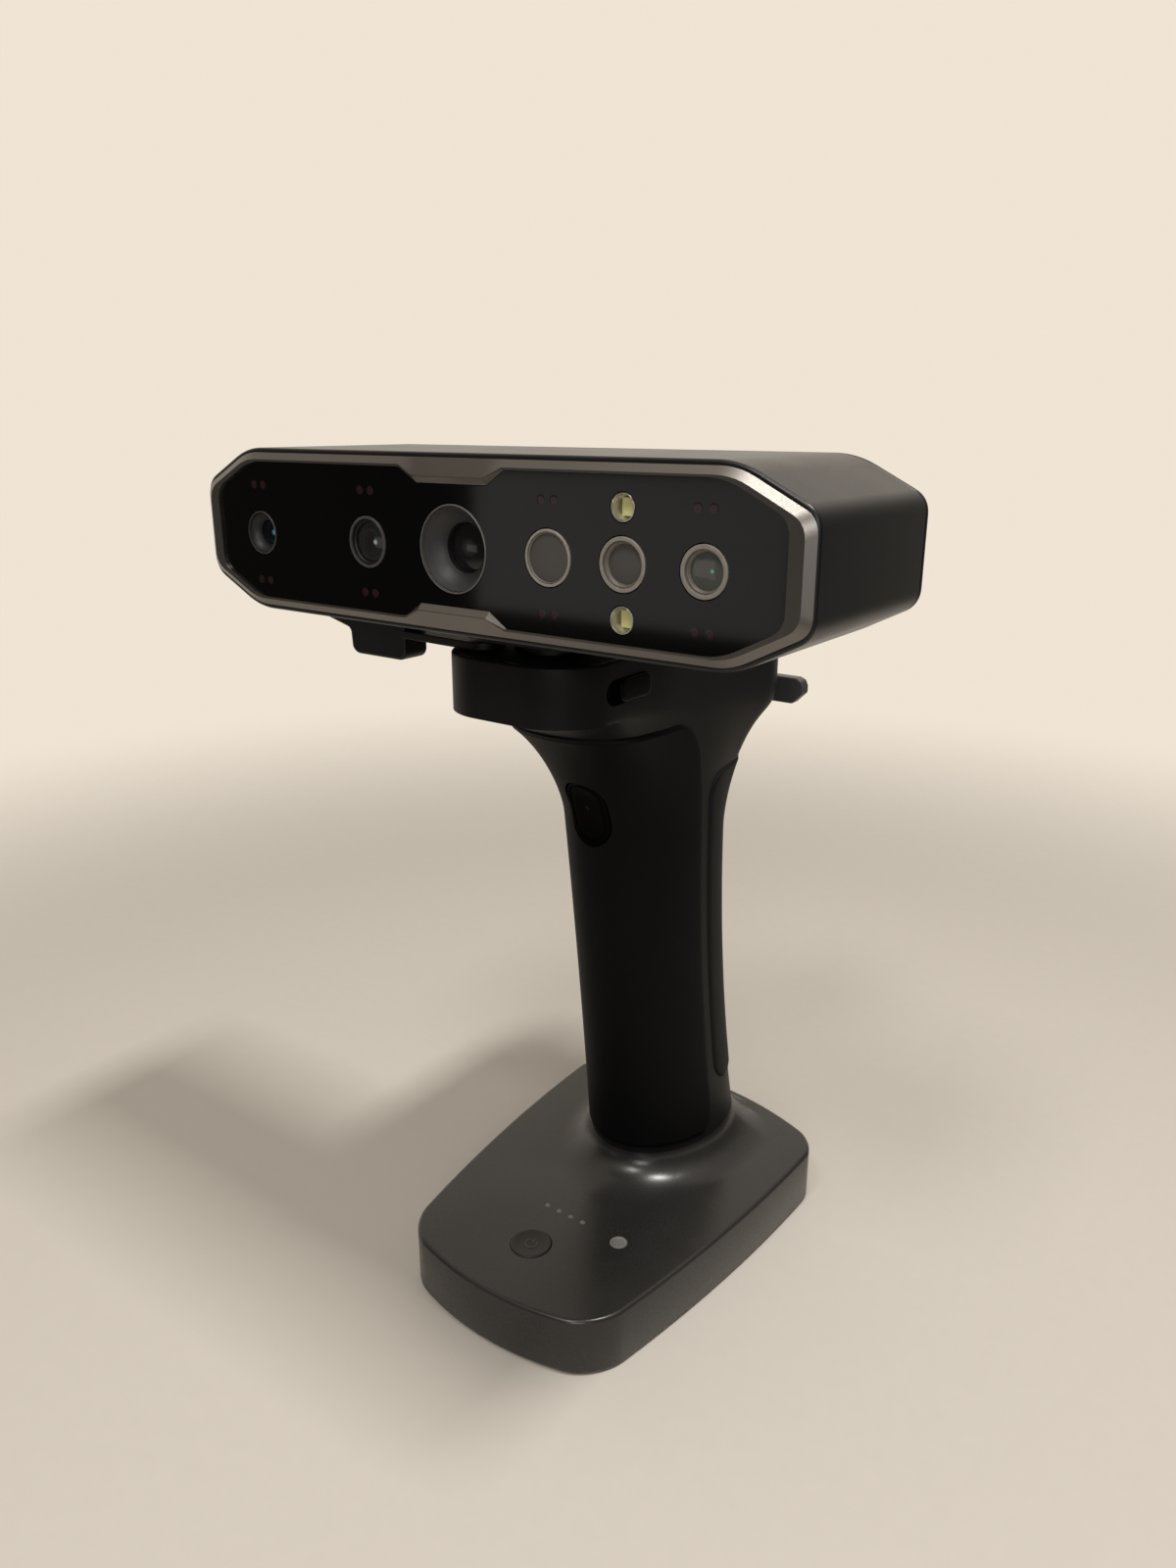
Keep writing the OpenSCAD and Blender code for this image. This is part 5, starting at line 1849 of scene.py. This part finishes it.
    def lights(self, palette: Palette) -> None:
        """Charge lights and the status light, as light pipes.

        Args:
            palette: The finishes.
        """
        r, top, low = self.light_r, self.wall_h, self.pipe_low
        profile = [(0.0, low), (r, low), (r, top - 0.1), (r - 0.12, top + 0.02), (r * 0.5, top + 0.1),
                   (0.0, top + 0.12)]
        places = [Vector((x, self.lights_y, 0)) for x in self.light_places()]
        made = [Workshop.lathe("light", profile, spot, UP, 32) for spot in places]
        row = Workshop.join("charge_dots", made)
        fit(row, Body.FRAME, palette["charge_pipe_plastic"], "light_pipe", "charge_lights", angle=50.0,
            flat=False)
        r = self.status_r
        profile = [(0.0, low), (r, low), (r, top - 0.05), (r - 0.15, top + 0.12), (r - 0.45, top + 0.18),
                   (r - 0.75, top + 0.1), (r - 0.95, top - 0.12), (r * 0.3, top - 0.16), (0.0, top - 0.17)]
        dot = Workshop.lathe("status_dot", profile, Vector((*self.status, 0)), UP, 64)
        fit(dot, Body.FRAME, palette["light_pipe_plastic"], "light_pipe", "status_light", angle=45.0,
            flat=False)


# Solids that stay as they are

FINISH_NODES: dict[str, tuple[str, ...]] = {
    "window_glass": ("front_window",),
    "deck_plastic": ("top_deck", "base_plate", "power_switch"),
    "pad_rubber": ("foot_pad",),
    "grip_plastic": ("ledge_bracket",),
    "bench_metal": ("quick_release_plate", "optical_bench", "heat_sink", "projector_module", "spine"),
    "board": ("sensor_boards", "main_board", "bridge_board", "control_board", "trigger_switch"),
    "brass": ("board_standoffs", "tripod_insert"),
    "cell_wrap": ("battery_cells",),
    "steel": ("link_socket", "cover_screws", "plate_screw", "lever_pin", "slider_clip", "ledge_pin",
              "base_screws", "charge_socket"),
}


def dress_solids(nodes: dict[str, Piece], palette: Palette) -> None:
    """Gives each solid that isn't replaced its finish.

    Args:
        nodes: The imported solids.
        palette: The finishes.
    """
    for finish, names in FINISH_NODES.items():
        for name in names:
            nodes[name].data.materials.clear()
            nodes[name].data.materials.append(palette[finish])


# Studio


@dataclass
class Studio:
    """Camera, pale floor, pale surroundings and soft lamps."""

    camera_at: tuple[float, float, float] = (204.5, -295.7, 286.7)
    azimuth: float = 36.21
    elevation: float = 17.77
    roll: float = 0.10
    focal_px: float = 1166.0
    image_h: float = 1600.0
    sensor: float = 36.0
    floor_r: float = 2.0
    floor_colour: Colour = (0.47, 0.44, 0.4)
    lamp_colour: Colour = (1.0, 0.97, 0.93)
    sky_colour: Colour = (0.87, 0.78, 0.66)
    sky_front: float = 0.05
    sky_light: float = 0.8
    wall_way: tuple[float, float, float] = (-0.77, 0.64, 0.0)
    wall_edge: Pair = (0.3, 0.72)
    roof_edge: Pair = (0.35, 0.85)
    roof_level: float = 0.75
    fade: Pair = (0.35, 0.85)

    def build(self) -> None:
        """Sets up the view, the stage and the light."""
        self.camera()
        self.floor()
        self.sky()
        self.lamps()
        bpy.context.scene.view_settings.view_transform = "Standard"

    def camera(self) -> None:
        """Camera at the photograph's place, looking the same way."""
        a, e, r = (math.radians(v) for v in (self.azimuth, self.elevation, self.roll))
        back = Vector((math.sin(a) * math.cos(e), -math.cos(a) * math.cos(e), math.sin(e)))
        right = UP.cross(back).normalized()
        up = back.cross(right)
        side = right * math.cos(r) + up * math.sin(r)
        rise = up * math.cos(r) - right * math.sin(r)
        data = bpy.data.cameras.new("photo_camera")
        data.sensor_fit = "VERTICAL"
        data.sensor_height = self.sensor
        data.lens = self.focal_px / self.image_h * self.sensor
        data.clip_start = 0.01
        camera = bpy.data.objects.new("photo_camera", data)
        bpy.context.scene.collection.objects.link(camera)
        turn = Matrix((side, rise, back)).transposed().to_4x4()
        camera.matrix_world = Matrix.Translation(Vector(self.camera_at) * MM) @ turn
        bpy.context.scene.camera = camera

    def floor(self) -> None:
        """Wide pale floor that fades into the surroundings."""
        Workshop.clear()
        bpy.ops.mesh.primitive_circle_add(vertices=96, radius=self.floor_r, fill_type="NGON")
        floor = bpy.context.object
        floor.name = "floor"
        graph = Graph("floor_paper")
        paper = graph.blend(graph.noise(160.0, 4.0), self.floor_colour, scaled(self.floor_colour, 1.05))
        reach = graph.node("ShaderNodeVectorMath", {"operation": "LENGTH"}, {0: graph.where()}, "Value")
        near, far = self.fade
        shown = 1.0 - ((reach - near) / (far - near)).clamp()
        graph.finish(Base_Color=paper, Roughness=0.8, Specular_IOR_Level=0.2,
                     Alpha=shown * shown * (3.0 - 2.0 * shown))
        floor.data.materials.append(graph.owner)

    def sky(self) -> None:
        """Surroundings: a pale wall behind the scanner, a pale ceiling and a dim room before it."""
        graph = Graph("surroundings", True)
        way = graph.node("ShaderNodeTexCoord", out="Generated")
        wall = graph.ease(graph.along(way, self.wall_way), *self.wall_edge)
        roof = graph.ease(graph.along(way, (0.0, 0.0, 1.0)), *self.roof_edge) * self.roof_level
        level = self.sky_front + wall.math("MAXIMUM", wall, roof) * (1.0 - self.sky_front)
        seen = graph.node("ShaderNodeLightPath", out="Is Camera Ray")
        for ray in ("Is Glossy Ray", "Is Transmission Ray"):
            seen = seen + graph.node("ShaderNodeLightPath", out=ray)
        strength = level * (self.sky_light + seen.clamp() * (1.0 - self.sky_light))
        values = {"Color": (*self.sky_colour, 1.0), "Strength": strength}
        graph.end("ShaderNodeOutputWorld", graph.node("ShaderNodeBackground", None, values))
        bpy.context.scene.world = graph.owner

    def lamps(self) -> None:
        """Soft boxes above, before and beside the scanner."""
        self.soft_box("top_box", (0.39, 0.0, 1.2), (0.02, 0.0, 0.05), (0.22, 0.1), 11.0)
        self.soft_box("key_box", (0.09, -0.69, 1.18), (0.0, 0.0, 0.2), (0.25, 0.25), 5.0)
        self.soft_box("fill_box", (0.6, -1.1, 0.6), (0.0, 0.0, 0.18), (0.4, 0.4), 4.0)
        self.soft_box("glass_box", (-0.52, -0.9, 0.148), (-0.52, 0.0, 0.148), (0.42, 0.163), 0.105)
        self.soft_box("side_box", (0.9, -1.0, 0.15), (0.0, 0.0, 0.15), (0.5, 0.5), 0.63)

    def soft_box(self, name: str, spot: Sequence[float], aim: Sequence[float], size: Pair,
                 power: float) -> None:
        """Adds a rectangular lamp that only its light and its reflections show.

        Args:
            name: The lamp's name.
            spot: Where it hangs, in metres.
            aim: What it points at, in metres.
            size: Its width and height in metres.
            power: Its power in watts.
        """
        data = bpy.data.lights.new(name, "AREA")
        data.shape = "RECTANGLE"
        data.size, data.size_y = size
        data.energy = power
        data.color = self.lamp_colour
        lamp = bpy.data.objects.new(name, data)
        lamp.visible_camera = False
        bpy.context.scene.collection.objects.link(lamp)
        turn = (Vector(spot) - Vector(aim)).to_track_quat("Z", "Y")
        lamp.matrix_world = Matrix.Translation(Vector(spot)) @ turn.to_matrix().to_4x4()


def main() -> None:
    """Builds the scanner in order."""
    logging.basicConfig(level=logging.INFO, format="%(name)s: %(message)s")
    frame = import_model()
    palette = Palette()
    Studio().build()
    Head().build(palette)
    grip = Grip()
    grip.build(palette)
    LockLever().build(palette)
    Foot(grip.form).build(palette)
    dress_solids(frame["nodes"], palette)
    Workshop.clear()


if __name__ == "__main__":
    main()
